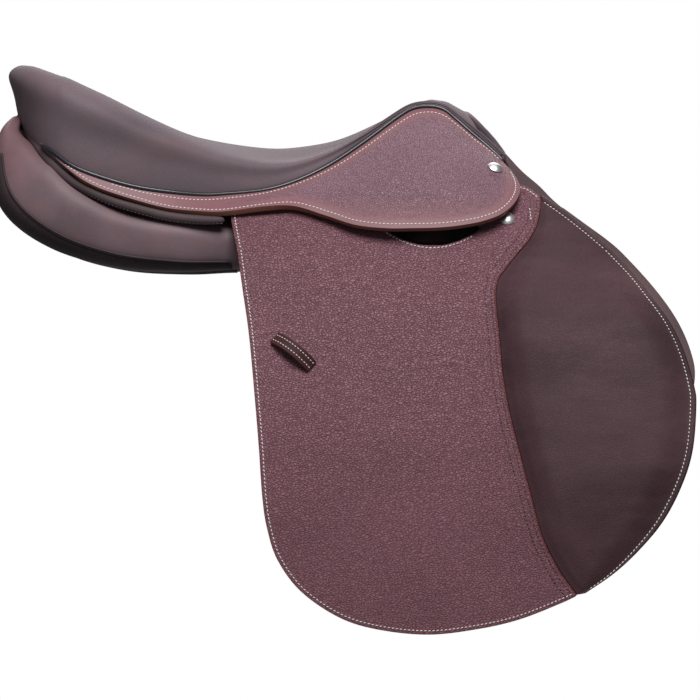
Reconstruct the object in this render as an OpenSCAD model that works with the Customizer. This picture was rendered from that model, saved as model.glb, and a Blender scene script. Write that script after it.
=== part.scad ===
// Close-contact jumping saddle, built up from its separate pieces
// Frame in mm: +X to the pommel, +Y to the near (left) side, +Z up
// Origin: middle plane, below the lowest point of the seat, on the line where the panels rest

/* [Seat] */
// Seat length from the nail to the middle of the cantle
seat_length = 445; // [430:5:460]
// Widest distance between the two seat seams
seat_width = 232; // [224:2:240]
// Top of the cantle above the line where the panels rest
cantle_height = 180; // [172:1:190]
// Top of the pommel above that line
pommel_height = 149; // [145:1:155]
// Lowest point of the seat above that line
seat_height = 106; // [102:1:110]
// Thickness of the blocked seat leather
seat_leather = 3; // [2:0.5:4]
// Thickness of the foam below the seat leather
seat_padding = 13; // [8:1:15]
// Diameter of the welt cord along the seat seam
welt_diameter = 4; // [3:0.5:5]

/* [Skirt] */
// Thickness of the skirt leather
skirt_thickness = 5; // [3.5:0.5:6]
// Space between the flap and the inside of the skirt at its free edge
skirt_standoff = 10; // [10:0.5:13]
// How far the skirt is blocked outward between its two edges
skirt_crown = 8; // [7:0.5:10]

/* [Flap] */
// Length of the flap from its bend line to its lowest point
flap_length = 323; // [305:1:335]
// Length of the flap from its rear edge to its front edge
flap_width = 388; // [380:1:396]
// Width over both flaps at their lower ends
flap_spread = 464; // [456:2:480]
// Radius of the curve in which the flaps hang
flap_radius = 620; // [600:5:640]
// Height of the bend line of the flap
bend_height = 13; // [12:0.5:14]
// Thickness of the grained cover leather
flap_cover_thickness = 2.5; // [2:0.1:3]
// Thickness of the lining leather behind it
flap_lining_thickness = 2; // [1.5:0.1:2.5]
// How far the flap stands out over the knee block
flap_bulge = 14; // [10:1:18]
// Height of the padding of the knee pad over the flap
knee_pad_crown = 7; // [4:0.5:9]

/* [Sweat flap and blocks] */
// Thickness of the sweat flap leather
sweat_flap_thickness = 3; // [2:0.5:4]
// Thickness of the thigh block
thigh_block_thickness = 6; // [4:0.5:8]

/* [Panel] */
// Width of the channel between the two panels
channel_width = 68; // [60:2:76]
// Thickness of the panels below the seat
panel_thickness = 54; // [48:1:58]
// Thickness of the gusset leather at the back of the panels
gusset_thickness = 2; // [1:0.5:3]

/* [Tree] */
// Thickness of the laminated tree
tree_thickness = 9; // [6:0.5:10]
// Thickness of the gullet plate
gullet_plate_thickness = 3; // [2:0.5:4]
// Thickness of the tree springs
spring_thickness = 2; // [1:0.5:3]
// Width of each tree spring
spring_width = 18; // [12:1:22]
// Thickness of the seat webbing
web_thickness = 2; // [1:0.5:2.5]

/* [Stirrup bar] */
// Length of the stirrup bar along the tree
bar_length = 80; // [74:1:84]
// Height of the bar, which the stirrup leather goes round
bar_height = 10; // [8:0.5:12]
// Thickness of the bar
bar_thickness = 4.4; // [4:0.1:4.6]
// Gap between the bar and its plate for the stirrup leather
bar_gap = 6.2; // [6:0.1:6.4]
// Thickness of the plate on the tree
bar_plate_thickness = 2.5; // [2:0.1:2.8]
// Length of the thumb catch from its pin
catch_length = 20; // [16:1:22]
// Diameter of the catch pin
catch_pin_diameter = 4; // [3:0.5:5]

/* [Billets] */
// Width of each girth billet
billet_width = 25; // [20:1:28]
// Thickness of each girth billet
billet_thickness = 4; // [3:0.5:4.5]
// Length of each girth billet below its web
billet_length = 250; // [225:5:260]
// Distance between the billets
billet_spacing = 55; // [50:1:58]
// Diameter of the billet holes
billet_hole = 5; // [4:0.5:6]
// Distance between the billet holes
billet_hole_pitch = 25; // [20:1:26]
// Thickness of the billet guard leather
guard_thickness = 2; // [1.5:0.5:3]

/* [Nails and keeper] */
// Diameter of the nail heads
nail_diameter = 13; // [10:0.5:15]
// Length of the stirrup leather keeper
keeper_length = 42; // [36:1:46]
// Width of the keeper strap
keeper_width = 11.5; // [9:0.5:14]
// Height of the gap below the keeper strap
keeper_gap = 7; // [6:0.5:8]

/* [Clearances] */
// Gap between pieces that lie on each other
fit_gap = 0.3; // [0.2:0.05:0.4]
// Gap on each side of a leaf that swings
swing_gap = 1.5; // [1.2:0.1:1.8]
// Radial clearance of the catch on its pin
pin_clearance = 0.08; // [0.04:0.01:0.1]

/* [Hidden] */
length_ratio = seat_length / 445;
width_ratio = seat_width / 232;
flap_x_ratio = flap_width / 388;
flap_z_ratio = flap_length / 323;
flap_thickness = flap_cover_thickness + flap_lining_thickness;
flap_bottom = bend_height - flap_length;
drum_y = flap_spread / 2 - flap_radius;
drum_z = flap_bottom - 10;
r_flap_in = flap_radius - flap_thickness;
r_guard_out = r_flap_in - swing_gap - 0.8;
r_guard_in = r_guard_out - guard_thickness;
r_billet_out = r_guard_in - swing_gap + 0.3;
r_billet_in = r_billet_out - billet_thickness;
r_sweat_out = r_billet_in - swing_gap;
r_sweat_in = r_sweat_out - sweat_flap_thickness;
r_tree = r_flap_in - fit_gap;
foam_top = seat_leather + fit_gap + 0.15;
foam_bottom = foam_top + seat_padding;
web_top = foam_bottom + fit_gap + 0.4;
web_bottom = web_top + web_thickness;
tree_top = web_bottom + fit_gap;
tree_bottom = tree_top + tree_thickness;
pad_pitch = knee_pad_crown + 1;
bend_y = drum_y + sqrt(pow(flap_radius, 2) - pow(bend_height - drum_z, 2)) + pad_pitch;
bar_x = 126 * length_ratio;
bar_z = 40;
bar_tilt = asin((bar_z - drum_z) / r_tree);
arm_in = fit_gap + bar_plate_thickness + bar_gap;
arm_out = arm_in + bar_thickness;
lap = (bar_thickness - fit_gap) / 2;
catch_x = -bar_length / 2 + 4;
billet_top = 24;
web_low = billet_top - 12;
r_web_in = r_billet_out + fit_gap;

// Smooth curves through a few points
function lerp(a, b, t) = a + (b - a) * t;
function clamp(v, a, b) = max(a, min(b, v));
function smooth(t) = let (c = clamp(t, 0, 1)) c * c * (3 - 2 * c);
function unit(v) = v / max(norm(v), 0.000001);
function spline_at(p, t) =
    let (n = len(p), i = clamp(floor(t), 0, n - 2), f = t - i)
    let (a = p[max(0, i - 1)], b = p[i], c = p[i + 1], d = p[min(n - 1, i + 2)])
    0.5 * (2 * b + (c - a) * f + (2 * a - 5 * b + 4 * c - d) * f * f + (3 * b - a - 3 * c + d) * f * f * f);
function spline_share(p, t) = spline_at(p, t * (len(p) - 1));
function spline_list(p, n) = [for (i = [0 : n]) spline_share(p, i / n)];
function slope(p, i) =
    let (a = max(0, i - 1), b = min(len(p) - 1, i + 1))
    (p[b][1] - p[a][1]) / (p[b][0] - p[a][0]);
function height_at(p, x) =
    let (i = max([0, for (k = [0 : len(p) - 2]) if (p[k][0] <= x) k]))
    let (w = p[i + 1][0] - p[i][0], f = clamp((x - p[i][0]) / w, 0, 1))
    let (a = slope(p, i) * w, b = slope(p, i + 1) * w, d = p[i + 1][1] - p[i][1])
    p[i][1] + a * f + (3 * d - 2 * a - b) * f * f + (a + b - 2 * d) * f * f * f;

// Closed solids between two grids of points; the outer side faces along column direction x row direction
function grid_faces(n, m, o, back) =
    [for (i = [0 : n - 2]) for (j = [0 : m - 2])
        let (a = o + i * m + j, b = a + 1, d = a + m, c = d + 1)
        each (back ? [[a, c, d], [a, b, c]] : [[a, d, c], [a, c, b]])];
function zip_faces(r, m, o, back) =
    [for (j = [0 : (m - 3) / 2])
        let (a = o + r * m + j, b = a + 1, d = o + r * m + m - 1 - j, c = d - 1)
        each (b == c ? (back ? [[a, d, b]] : [[a, b, d]])
            : (back ? [[a, c, b], [a, d, c]] : [[a, b, c], [a, c, d]]))];
function rim(n, m, zip_a, zip_b) =
    concat(zip_a ? [0] : [for (j = [0 : m - 2]) j],
        [for (i = [0 : n - 2]) i * m + m - 1],
        zip_b ? [n * m - 1] : [for (j = [m - 1 : -1 : 1]) (n - 1) * m + j],
        [for (i = [n - 1 : -1 : 1]) i * m]);
module sheet(top, bottom, zip_a = false, zip_b = false) {
    n = len(top);
    m = len(top[0]);
    o = n * m;
    loop = rim(n, m, zip_a, zip_b);
    polyhedron(
        points = concat([for (r = top) each r], [for (r = bottom) each r]),
        faces = concat(grid_faces(n, m, 0, false), grid_faces(n, m, o, true),
            zip_a ? concat(zip_faces(0, m, 0, false), zip_faces(0, m, o, true)) : [],
            zip_b ? concat(zip_faces(n - 1, m, 0, true), zip_faces(n - 1, m, o, false)) : [],
            [for (k = [0 : len(loop) - 1])
                let (p = loop[k], q = loop[(k + 1) % len(loop)])
                each [[p, q, q + o], [p, q + o, p + o]]]));
}
function grid_normal(g, i, j) =
    let (n = len(g) - 1, m = len(g[0]) - 1)
    unit(cross(g[i][min(m, j + 1)] - g[i][max(0, j - 1)], g[min(n, i + 1)][j] - g[max(0, i - 1)][j]));
function sunk(g, d) =
    [for (i = [0 : len(g) - 1]) [for (j = [0 : len(g[0]) - 1]) g[i][j] - d * grid_normal(g, i, j)]];
module slab(g, a, b) {
    sheet(sunk(g, a), sunk(g, b));
}

// Closed solid through a row of rings, each end closed by a fan
module loft(rings) {
    n = len(rings);
    m = len(rings[0]);
    mid_a = [for (k = [0 : 2]) [for (p = rings[0]) p[k]] * [for (p = rings[0]) 1 / m]];
    mid_b = [for (k = [0 : 2]) [for (p = rings[n - 1]) p[k]] * [for (p = rings[0]) 1 / m]];
    polyhedron(
        points = concat([for (r = rings) each r], [mid_a, mid_b]),
        faces = concat(
            [for (i = [0 : n - 2]) for (j = [0 : m - 1])
                let (a = i * m + j, b = i * m + (j + 1) % m, d = a + m, c = b + m)
                each [[a, c, d], [a, b, c]]],
            [for (j = [0 : m - 1]) [n * m, (j + 1) % m, j]],
            [for (j = [0 : m - 1]) [n * m + 1, (n - 1) * m + j, (n - 1) * m + (j + 1) % m]]));
}
function path_way(p, i) = unit(p[min(len(p) - 1, i + 1)] - p[max(0, i - 1)]);
function tube_rings(p, wide, high, m) =
    [for (i = [0 : len(p) - 1])
        let (t = path_way(p, i), s = unit(cross(t, [0, 0, 1])), u = cross(s, t))
        [for (k = [0 : m - 1]) p[i] + s * wide[i] * cos(360 * k / m) + u * high[i] * sin(360 * k / m)]];
module mirrored() {
    mirror([0, 1, 0]) children();
}

// Seat: heights along the middle line, and the seam from the rear middle to the front middle
function lift(x) =
    let (r = smooth((-40 - x) / 150), f = smooth((x - 20) / 90))
    (cantle_height - 180) * r + (pommel_height - 149) * f + (seat_height - 106) * (1 - r - f);
crown_points = [[-185, 152], [-163, 144], [-128, 131.5], [-93, 118.6], [-57, 110.8], [-22, 106], [0, 105.4],
    [31, 109.2], [49, 113.6], [66, 120.3], [84, 128.8], [102, 137.2], [119, 146], [131, 149]];
seam_points = [[-236.5, 0, 139], [-232.5, 45, 130], [-219, 80, 114], [-198, 103, 100], [-178, 112, 86],
    [-151, 116, 76], [-125, 116, 69], [-98, 113, 65], [-72, 107, 62.5], [-53, 102, 63], [-17, 93, 66.5],
    [11, 86, 75], [39.5, 78, 89.5], [68, 66, 109], [97, 53, 131], [112, 47, 140], [128, 44, 142],
    [140, 45, 139], [150, 47, 131], [161, 51, 121], [173, 57, 110], [184, 62, 99.5], [192, 66, 92],
    [187, 57, 101], [180, 46, 111], [172, 33, 122], [165, 17, 131], [162, 0, 135]];
shoulder_shares = [-2.13, -1.02, -0.56, -0.273, -0.145, -0.085, -0.02, 0.015, 0.085, 0.174, 0.3, 0.38, 0.4,
    0.42, 0.45, 0.5, 0.55, 0.62, 0.7, 0.76, 0.8, 0.84, 0.87, 0.84, 0.8, 0.78, 0.75, 0.75];
bulge_shares = [0.2, 0.14, 0.07, 0.04, 0.03, 0.03, 0.03, 0.02, 0.01, 0, -0.02, -0.02, -0.02, 0,
    0, 0, 0, 0, 0, 0, 0, 0, 0, 0, 0, 0, 0, 0];
function seam(k) =
    let (p = spline_at(seam_points, k))
    [p[0] * length_ratio, p[1] * width_ratio, p[2] + lift(p[0])];
function seat_mid(k) =
    let (x = seam(k)[0] / length_ratio, c = k > 16 ? 128 + 1.2 * (k - 16) : max(x, -185))
    [(k > 16 ? c : c + 0.15 * (x - c)) * length_ratio, 0, height_at(crown_points, min(c, 131)) + lift(c)];
function seat_point(k, s) =
    let (b = seam(k), mid = seat_mid(k), f = spline_at(shoulder_shares, k), g = spline_at(bulge_shares, k))
    let (z2 = mid[2] - f * (mid[2] - b[2]), d = z2 - b[2])
    let (line = [[0, mid[2]], [0.45, lerp(mid[2], z2, 0.2 + 0.3 * smooth((k - 16) / 3))], [0.8, z2],
        [1 + 0.8 * g, z2 - 0.22 * d], [1 + 0.35 * g, z2 - 0.6 * d], [1, b[2]]])
    let (q = spline_at(line, s))
    [mid[0] + q[0] * (b[0] - mid[0]), q[0] * b[1], q[1]];
function seat_inward(k, s) =
    let (p = seat_point(k, s), d = unit(seat_mid(k) - [0, 0, 75] - p))
    let (a = seat_point(k + 0.05, s) - seat_point(k - 0.05, s))
    let (b = seat_point(k, s + 0.05) - seat_point(k, s - 0.05))
    s == 0 ? d : d / max(0.6, -d * unit(cross(a, b)));

// The seat's layers share one grid of points, so they lie parallel
seat_rows = [0.1, 0.6, 1.2, 1.8, 2.4, 3.1, 4, 5, 6, 7, 8, 9, 10, 11, 12, 13, 14, 14.8, 15.6, 16.5, 17.5,
    18.6, 19.8, 21, 22, 22.8, 23.7, 24.7, 25.7, 26.8];
seat_steps = [5, 4.4, 3.8, 3.3, 2.8, 2.2, 1.5, 0.7, 0];
seat_nodes = [for (k = seat_rows) [for (s = seat_steps) [seat_point(k, s), seat_inward(k, s)]]];
function node_at(i, j, depth) = seat_nodes[i][j][0] + depth * seat_nodes[i][j][1];
function layer_at(r, c, side, depth) =
    let (i = min(floor(r), len(seat_rows) - 2), j = min(floor(c), len(seat_steps) - 2))
    let (p = lerp(lerp(node_at(i, j, depth), node_at(i, j + 1, depth), c - j),
        lerp(node_at(i + 1, j, depth), node_at(i + 1, j + 1, depth), c - j), r - i))
    [p[0], p[1] * side, p[2]];
function layer_row(r, first, depth) =
    concat([for (c = [first : 8]) layer_at(r, c, 1, depth)],
        [for (c = [7 : -1 : first]) layer_at(r, c, -1, depth)]);
module seat_cover() {
    color("dimgray")
        sheet([for (r = [0 : 29]) layer_row(r, 0, 0)],
            [for (r = [0 : 29]) layer_row(r, 0, seat_leather)], true, true);
}
module seat_foam() {
    color("wheat")
        sheet([for (r = [0 : 15]) layer_row(r, 2, foam_top)],
            [for (r = [0 : 15]) layer_row(r, 2, foam_bottom)], true, false);
}

// Welt: cord below the seat edge, between it and the top edge of the skirt
function seam_down(k) =
    let (t = unit(seam(k + 0.1) - seam(k - 0.1)))
    let (d = spline_at(skirt_low_points, max(0, k - 3)) - spline_at(seam_points, k))
    unit(d - (d * t) * t);
module left_welt() {
    path = [for (i = [0 : 38])
        let (k = 3.25 + i * 18.65 / 38)
        seam(k) + (welt_diameter / 2 + fit_gap + 0.4) * seam_down(k)];
    r = [for (p = path) welt_diameter / 2];
    color("black")
        loft(tube_rings(path, r, r, 8));
}
module right_welt() {
    mirrored() left_welt();
}

// The curves are drawn for one drum; what lies on it moves sideways with the drum of the chosen sizes
drawn_radius = 620;
drawn_y = 232 - drawn_radius;
drawn_z = -320;
function drum_at(r, z) = drum_y + sqrt(r * r - pow(z - drum_z, 2));
function drawn_at(z) = drawn_y + sqrt(pow(drawn_radius, 2) - pow(z - drawn_z, 2));
function drum_shift(z) = drum_at(flap_radius, z) - drawn_at(z);
head_ratio = drum_at(flap_radius, 45) / drawn_at(45);

// Skirt: from the welt to its free lower edge, which stands off the flap over the stirrup bar
skirt_low_points = [[-207.5, 95.5, 103.5], [-181, 114.5, 81], [-160, 120, 68], [-129, 122, 57], [-100, 123,
    49.5], [-72, 123, 46.7], [-50, 122, 46.5], [-15, 121, 51], [10, 121, 51], [36, 127, 43], [62, 136,
    34.5], [88, 141, 31.5], [110, 142, 31.5], [132, 142, 32], [152, 140.5, 34], [172, 137, 38], [189,
    130.5, 45], [201, 118, 57], [204, 100, 70], [196, 75, 86]];
function skirt_shift(k) =
    drum_shift(spline_at(skirt_low_points, k)[2]) * smooth((k - 3.5) / 2.5) * (1 - smooth((k - 17) / 1.5));
function skirt_low(k) =
    let (p = spline_at(skirt_low_points, k), w = smooth((k - 7) / 4) - smooth((k - 16) / 2))
    let (y = p[1] * lerp(width_ratio, 1, smooth((k - 1) / 6)))
    [p[0] * length_ratio, y + (skirt_standoff - 10 + skirt_thickness - 5) * w + skirt_shift(k),
        p[2] + bend_height - 13];
function skirt_seam(k) = k + 3 - 0.55 * (1 - smooth(k / 1.6));
function skirt_point(k, v) =
    let (below = lerp(1, welt_diameter + 2 * fit_gap + 0.65, smooth(k / 0.42)))
    let (u = seam(skirt_seam(k)) + below * seam_down(skirt_seam(k)), l = skirt_low(k))
    let (w = smooth((k - 6) / 5) * (1 - smooth((k - 15) / 4)))
    let (q = lerp(u, l, v), d = l - u, n = unit([0, -d[2], d[1]]))
    q + n * skirt_crown * w * sin(180 * v) + [0, skirt_shift(k) * (smooth(v / 0.75) - v), 0];
fold_a = [36 * length_ratio, 43 + bend_height - 13];
fold_b = [204 * length_ratio, 70 + bend_height - 13];
fold_slope = (fold_b[1] - fold_a[1]) / (fold_b[0] - fold_a[0]);
function fold_share(k) =
    let (u = seam(k + 3), l = skirt_low(k), above = fold_a[1] + (u[0] - fold_a[0]) * fold_slope - u[2])
    clamp(above / (l[2] - u[2] - fold_slope * (l[0] - u[0])), 0, 1);
function fixed_share(k) = k < 9.3 || k > 17.7 ? 1 : fold_share(k);
skirt_rows = [0.02, 0.3, 0.6, 1, 1.5, 2, 3, 4, 5, 6, 7, 8, 8.7, 9.29, 9.31, 10, 10.8, 11.6, 12.4, 13.2, 14,
    14.8, 15.6, 16.4, 17.1, 17.69, 17.71, 18.2, 18.7];
lower_rows = [9.55, 10, 10.8, 11.6, 12.4, 13.2, 14, 14.8, 15.6, 16.4, 17.1, 17.5];
module left_skirt_upper() {
    color("rosybrown")
        slab([for (i = [0 : 6]) [for (k = skirt_rows) skirt_point(k, fixed_share(k) * i / 6)]], 0,
            skirt_thickness);
}
module right_skirt_upper() {
    mirrored() left_skirt_upper();
}
module left_skirt_lower() {
    color("rosybrown")
        slab([for (i = [0 : 4]) [for (k = lower_rows)
            let (a = fold_share(k) + 0.007) skirt_point(k, lerp(a, 1, i / 4))]], 0, skirt_thickness);
}
module right_skirt_lower() {
    mirrored() left_skirt_lower();
}

// Leaves that hang in one curve, the drum: points on it, and exact leaves cut from it
function on_drum(r, p) = [p[0], drum_at(r, p[1]), p[1]];
module drum_leaf(r_in, r_out, outline) {
    intersection() {
        translate([-400, drum_y, drum_z])
            rotate([0, 90, 0])
                difference() {
                    cylinder(h = 800, r = r_out, $fn = 240);
                    translate([0, 0, -1])
                        cylinder(h = 802, r = r_in, $fn = 240);
                }
        translate([0, 300, 0])
            rotate([90, 0, 0])
                linear_extrude(height = 290)
                    polygon(outline);
    }
}
function flap_fit(p) =
    [100 + (p[0] - 100) * flap_x_ratio,
        p[1] < 13 ? bend_height + (p[1] - 13) * flap_z_ratio : p[1] + bend_height - 13];
function flap_curve(p) = [for (q = p) flap_fit(q)];
function front_bulge(p) =
    flap_bulge * smooth((p[0] - 150) / 90) * smooth((bend_height - p[1]) / 70)
        * (1 - 0.5 * smooth((-170 - p[1]) / 110));
rear_edge = flap_curve([[-39, 13], [-34, -20], [-28, -60], [-22.5, -115], [-19, -155], [-16, -195],
    [-12, -221], [-3, -248], [17, -274.5], [49, -296], [82, -306], [124, -310], [166, -305],
    [199, -297], [232, -284], [245, -278]]);
pad_seam = flap_curve([[203, 13], [197, 6], [190, -3], [184, -11.5], [181.3, -22.5], [181.5, -37],
    [183.7, -63], [186, -93], [191.4, -125.5], [200.7, -164], [208.5, -194], [218, -229], [232, -256.5],
    [243, -272], [246.5, -276.5]]);
pad_front = flap_curve([[281, 13], [300.5, -9.5], [314.5, -29], [329, -51], [339.5, -75], [346.5, -102],
    [348, -119], [344, -157], [334, -187], [319, -215], [299.5, -238.5], [278, -258.5], [254, -275]]);
seam_upper = flap_curve([[203, 13.3], [210, 21], [217, 33], [220.5, 45], [222, 55], [221.5, 60]]);
front_upper = flap_curve([[281, 13.3], [266.5, 26.5], [248.7, 42], [235, 53], [227, 59], [223.5, 61]]);
flap_ts = [for (i = [0 : 18]) pow(i / 18, 0.9) * 0.99];
pad_us = [0, 0.1, 0.25, 0.5, 0.75, 0.9, 1];
cover_spots = [for (t = flap_ts) [for (j = [0 : 6])
    lerp(spline_share(rear_edge, t), spline_share(pad_seam, t), j / 6)]];
pad_spots = [for (t = flap_ts) [for (u = pad_us)
    lerp(spline_share(pad_seam, t) + [0.6, 0], spline_share(pad_front, t), u)]];
lining_spots = [for (i = [0 : 18]) concat(cover_spots[i], pad_spots[i])];
function flap_row(row, r) = [for (p = row) on_drum(r + front_bulge(p), p)];
module left_flap_lining() {
    color("saddlebrown")
        sheet([for (row = lining_spots) flap_row(row, r_flap_in + flap_lining_thickness)],
            [for (row = lining_spots) flap_row(row, r_flap_in)]);
}
module right_flap_lining() {
    mirrored() left_flap_lining();
}
module left_flap_cover() {
    color("rosybrown")
        sheet([for (row = cover_spots) flap_row(row, flap_radius + fit_gap)],
            [for (row = cover_spots) flap_row(row, r_flap_in + flap_lining_thickness + fit_gap)]);
}
module right_flap_cover() {
    mirrored() left_flap_cover();
}
function pad_height(t, u) =
    -0.5 + knee_pad_crown * pow(max(0, sin(180 * u)), 0.7) * (1 - 0.6 * smooth((t - 0.7) / 0.3));
module left_knee_pad() {
    color("dimgray")
        sheet([for (i = [0 : 18]) [for (j = [0 : 6]) let (p = pad_spots[i][j])
                on_drum(flap_radius + front_bulge(p) + pad_height(flap_ts[i], pad_us[j]), p)]],
            [for (row = pad_spots) flap_row(row, r_flap_in + flap_lining_thickness + fit_gap)]);
}
module right_knee_pad() {
    mirrored() left_knee_pad();
}
module left_pad_upper() {
    spots = [for (i = [0 : 6]) [for (u = pad_us)
        lerp(spline_share(seam_upper, 1 - i / 6) + [0.6, 0], spline_share(front_upper, 1 - i / 6), u)]];
    color("dimgray")
        sheet([for (i = [0 : 6]) [for (j = [0 : 6]) let (p = spots[i][j])
                on_drum(flap_radius + pad_height(0, pad_us[j]) * (0.3 + 0.7 * i / 6), p)]],
            [for (row = spots) [for (p = row) on_drum(r_flap_in, p)]]);
}
module right_pad_upper() {
    mirrored() left_pad_upper();
}
module left_flap_upper() {
    outline = concat(
        flap_curve([[-39, 13.3], [-43.5, 34], [-46, 50], [-20, 52], [25, 53], [60, 61], [120, 63],
            [176, 63.5], [190, 65.5], [203, 66], [212, 64.5], [219, 61]]),
        [for (i = [12 : -1 : 0]) spline_share(seam_upper, i / 12)]);
    color("rosybrown")
        difference() {
            drum_leaf(r_flap_in, flap_radius, outline);
            translate([bar_x, 300, bend_height + 23.5])
                rotate([90, 0, 0])
                    linear_extrude(height = 290)
                        union() {
                            translate([-28, 0])
                                circle(r = 19.5, $fn = 64);
                            translate([28, 0])
                                circle(r = 19.5, $fn = 64);
                            square([56, 39], center = true);
                        }
        }
}
module right_flap_upper() {
    mirrored() left_flap_upper();
}

// Sweat flap, its knee and thigh blocks
sweat_edge = concat(
    spline_list(flap_curve([[-24, 20], [-20, -20], [-14, -60], [-8, -115], [-4, -165], [4, -215],
        [22, -255], [60, -282], [120, -292], [180, -284], [235, -262], [275, -237], [303, -207],
        [325, -170], [341, -130], [349.5, -97], [347, -74], [336.2, -47], [317.8, -19.5], [293.3, 9],
        [279.3, 22.2], [260, 37], [241.5, 51.2]]), 56),
    spline_list(flap_curve([[233, 54], [222, 50], [208, 36], [196, 23], [180, 20]]), 10));
module left_sweat_flap() {
    color("saddlebrown")
        drum_leaf(r_sweat_in, r_sweat_out, sweat_edge);
}
module right_sweat_flap() {
    mirrored() left_sweat_flap();
}
block_rear = flap_curve([[232, 2], [222, -30], [218, -65], [220, -100], [228, -135], [242, -165]]);
block_front = flap_curve([[262, 2], [296, -30], [315, -65], [321, -100], [315, -135], [290, -165]]);
module left_knee_block() {
    us = [0, 0.08, 0.25, 0.5, 0.75, 0.92, 1];
    ts = [0, 0.06, 0.2, 0.4, 0.6, 0.8, 0.94, 1];
    spots = [for (t = ts) [for (u = us)
        lerp(spline_share(block_rear, t), spline_share(block_front, t), u)]];
    color("dimgray")
        sheet([for (i = [0 : 7]) [for (j = [0 : 6]) let (p = spots[i][j])
                let (e = pow(sin(180 * us[j]), 0.5) * pow(sin(180 * ts[i]), 0.5))
                on_drum(r_sweat_out + fit_gap + 2.2 + (6.5 + front_bulge(p) * 0.85) * e, p)]],
            [for (i = [0 : 7]) [for (j = [0 : 6]) on_drum(r_sweat_out + fit_gap + 0.2, spots[i][j])]]);
}
module right_knee_block() {
    mirrored() left_knee_block();
}
module left_thigh_block() {
    color("dimgray")
        drum_leaf(r_sweat_out + fit_gap, r_sweat_out + fit_gap + thigh_block_thickness,
            flap_curve([[-4, -118], [0, -112], [10, -112], [15, -118], [17, -195], [13, -203], [6, -203],
                [1, -197]]));
}
module right_thigh_block() {
    mirrored() left_thigh_block();
}

// Girth billets on the drum, with bored holes, their webs and the guard over them
module drum_hole(x, z, r_in, r_out, d) {
    tilt = asin((z - drum_z) / r_in);
    translate([x, drum_y, drum_z])
        rotate([tilt, 0, 0])
            translate([0, r_in, 0])
                rotate([-90, 0, 0])
                    cylinder(h = r_out - r_in, d = d, $fn = 32);
}
function billet_x(n) = (100 + (n - 1) * billet_spacing) * length_ratio;
function billet_z(n) = billet_top - billet_length + 22 + n * billet_hole_pitch;
module left_billet(n) {
    x = billet_x(n);
    w = billet_width / 2;
    low = billet_top - billet_length;
    difference() {
        drum_leaf(r_billet_in, r_billet_out,
            [[x - w, billet_top], [x - w, low + 12], [x - w * 0.5, low + 2], [x, low],
                [x + w * 0.5, low + 2], [x + w, low + 12], [x + w, billet_top]]);
        for (k = [0 : 6])
            drum_hole(x, billet_z(k), r_billet_in - 4, r_billet_out + 4, billet_hole);
    }
}
module left_rear_billet() {
    color("saddlebrown")
        left_billet(0);
}
module left_middle_billet() {
    color("saddlebrown")
        left_billet(1);
}
module left_front_billet() {
    color("saddlebrown")
        left_billet(2);
}
module right_rear_billet() {
    mirrored() left_rear_billet();
}
module right_middle_billet() {
    mirrored() left_middle_billet();
}
module right_front_billet() {
    mirrored() left_front_billet();
}
module left_billet_webs() {
    a = billet_x(0) - billet_width / 2;
    b = billet_x(2) + billet_width / 2;
    w = billet_width / 2;
    top = drum_z + r_web_in * (38 - drum_z) / r_tree - fit_gap;
    plate_a = bar_x - bar_length / 2 - 2;
    plate_b = bar_x + bar_length / 2 + 2;
    color("white")
        drum_leaf(r_web_in, r_web_in + web_thickness,
            concat([[a, top], [a, web_low]],
                [for (n = [0 : 2]) each [[billet_x(n) - w, web_low], [billet_x(n) + w, web_low],
                    [billet_x(n) + w, billet_top + 3], [n < 2 ? billet_x(n + 1) - w : b, billet_top + 3]]],
                [[b, plate_b > b ? top - 2.2 : top], [plate_b > b ? b : plate_b, top - 2.2],
                    [plate_a, top - 2.2], [plate_a, top]]));
}
module right_billet_webs() {
    mirrored() left_billet_webs();
}
module left_billet_guard() {
    a = billet_x(0) - 24;
    b = billet_x(2) + 24;
    color("saddlebrown")
        drum_leaf(r_guard_in, r_guard_out,
            concat([[a + 6, web_low - fit_gap], [a, web_low - 8]],
                spline_list([[a, -70], [a + 14, -92], [(a + b) / 2, -100], [b - 14, -92], [b, -70]], 16),
                [[b, web_low - 8], [b - 6, web_low - fit_gap]]));
}
module right_billet_guard() {
    mirrored() left_billet_guard();
}

// Tree: laminated seat, head, gullet plate, springs and seat webbing
function tree_row(r, side, depth) = [for (c = [6, 5, 4, 3]) layer_at(r, c, side, depth)];
function tree_grid(depth) =
    concat([for (r = [14 : -1 : 0]) tree_row(r, 1, depth)], [for (r = [0 : 14]) tree_row(r, -1, depth)]);
module tree_seat() {
    color("burlywood")
        sheet(tree_grid(tree_top), tree_grid(tree_bottom));
}
function roof_line(x) =
    let (c = min(x / length_ratio, 131), zr = height_at(crown_points, c) + lift(c) - tree_top)
    [[0, zr], [30 * head_ratio, zr - 4], [60 * head_ratio, lerp(zr - 4, 66, 0.5)],
        [drum_at(r_tree - 2.5, 66), 66], [drum_at(r_tree, 52), 52], [drum_at(r_tree, 38), 38]];
function head_front(q) = length_ratio * (q < 3 ? lerp(143, 178, pow(q / 3, 1.4)) : 178 + (q - 3) * 3);
head_steps = [5, 4, 3.4, 2.8, 2.2, 1.6, 1, 0.5];
function head_row(q, side, a, b) =
    [for (j = [0 : 6]) let (x = lerp(a, min(b, head_front(q)), j / 6), p = spline_at(roof_line(x), q))
        [x, p[0] * side, p[1]]];
function head_grid(a, b, steps) =
    concat([for (q = steps) head_row(q, -1, a, b)], [head_row(0, 1, a, b)],
        [for (i = [len(steps) - 1 : -1 : 0]) head_row(steps[i], 1, a, b)]);
module tree_head() {
    color("burlywood")
        slab(head_grid(64 * length_ratio, 400, head_steps), 0, tree_thickness);
}
function plate_block(depth) =
    let (g = sunk(head_grid(64 * length_ratio, 400, head_steps), depth))
    [for (i = [2 : 14]) [for (j = [2 : 4]) g[i][j]]];
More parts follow.
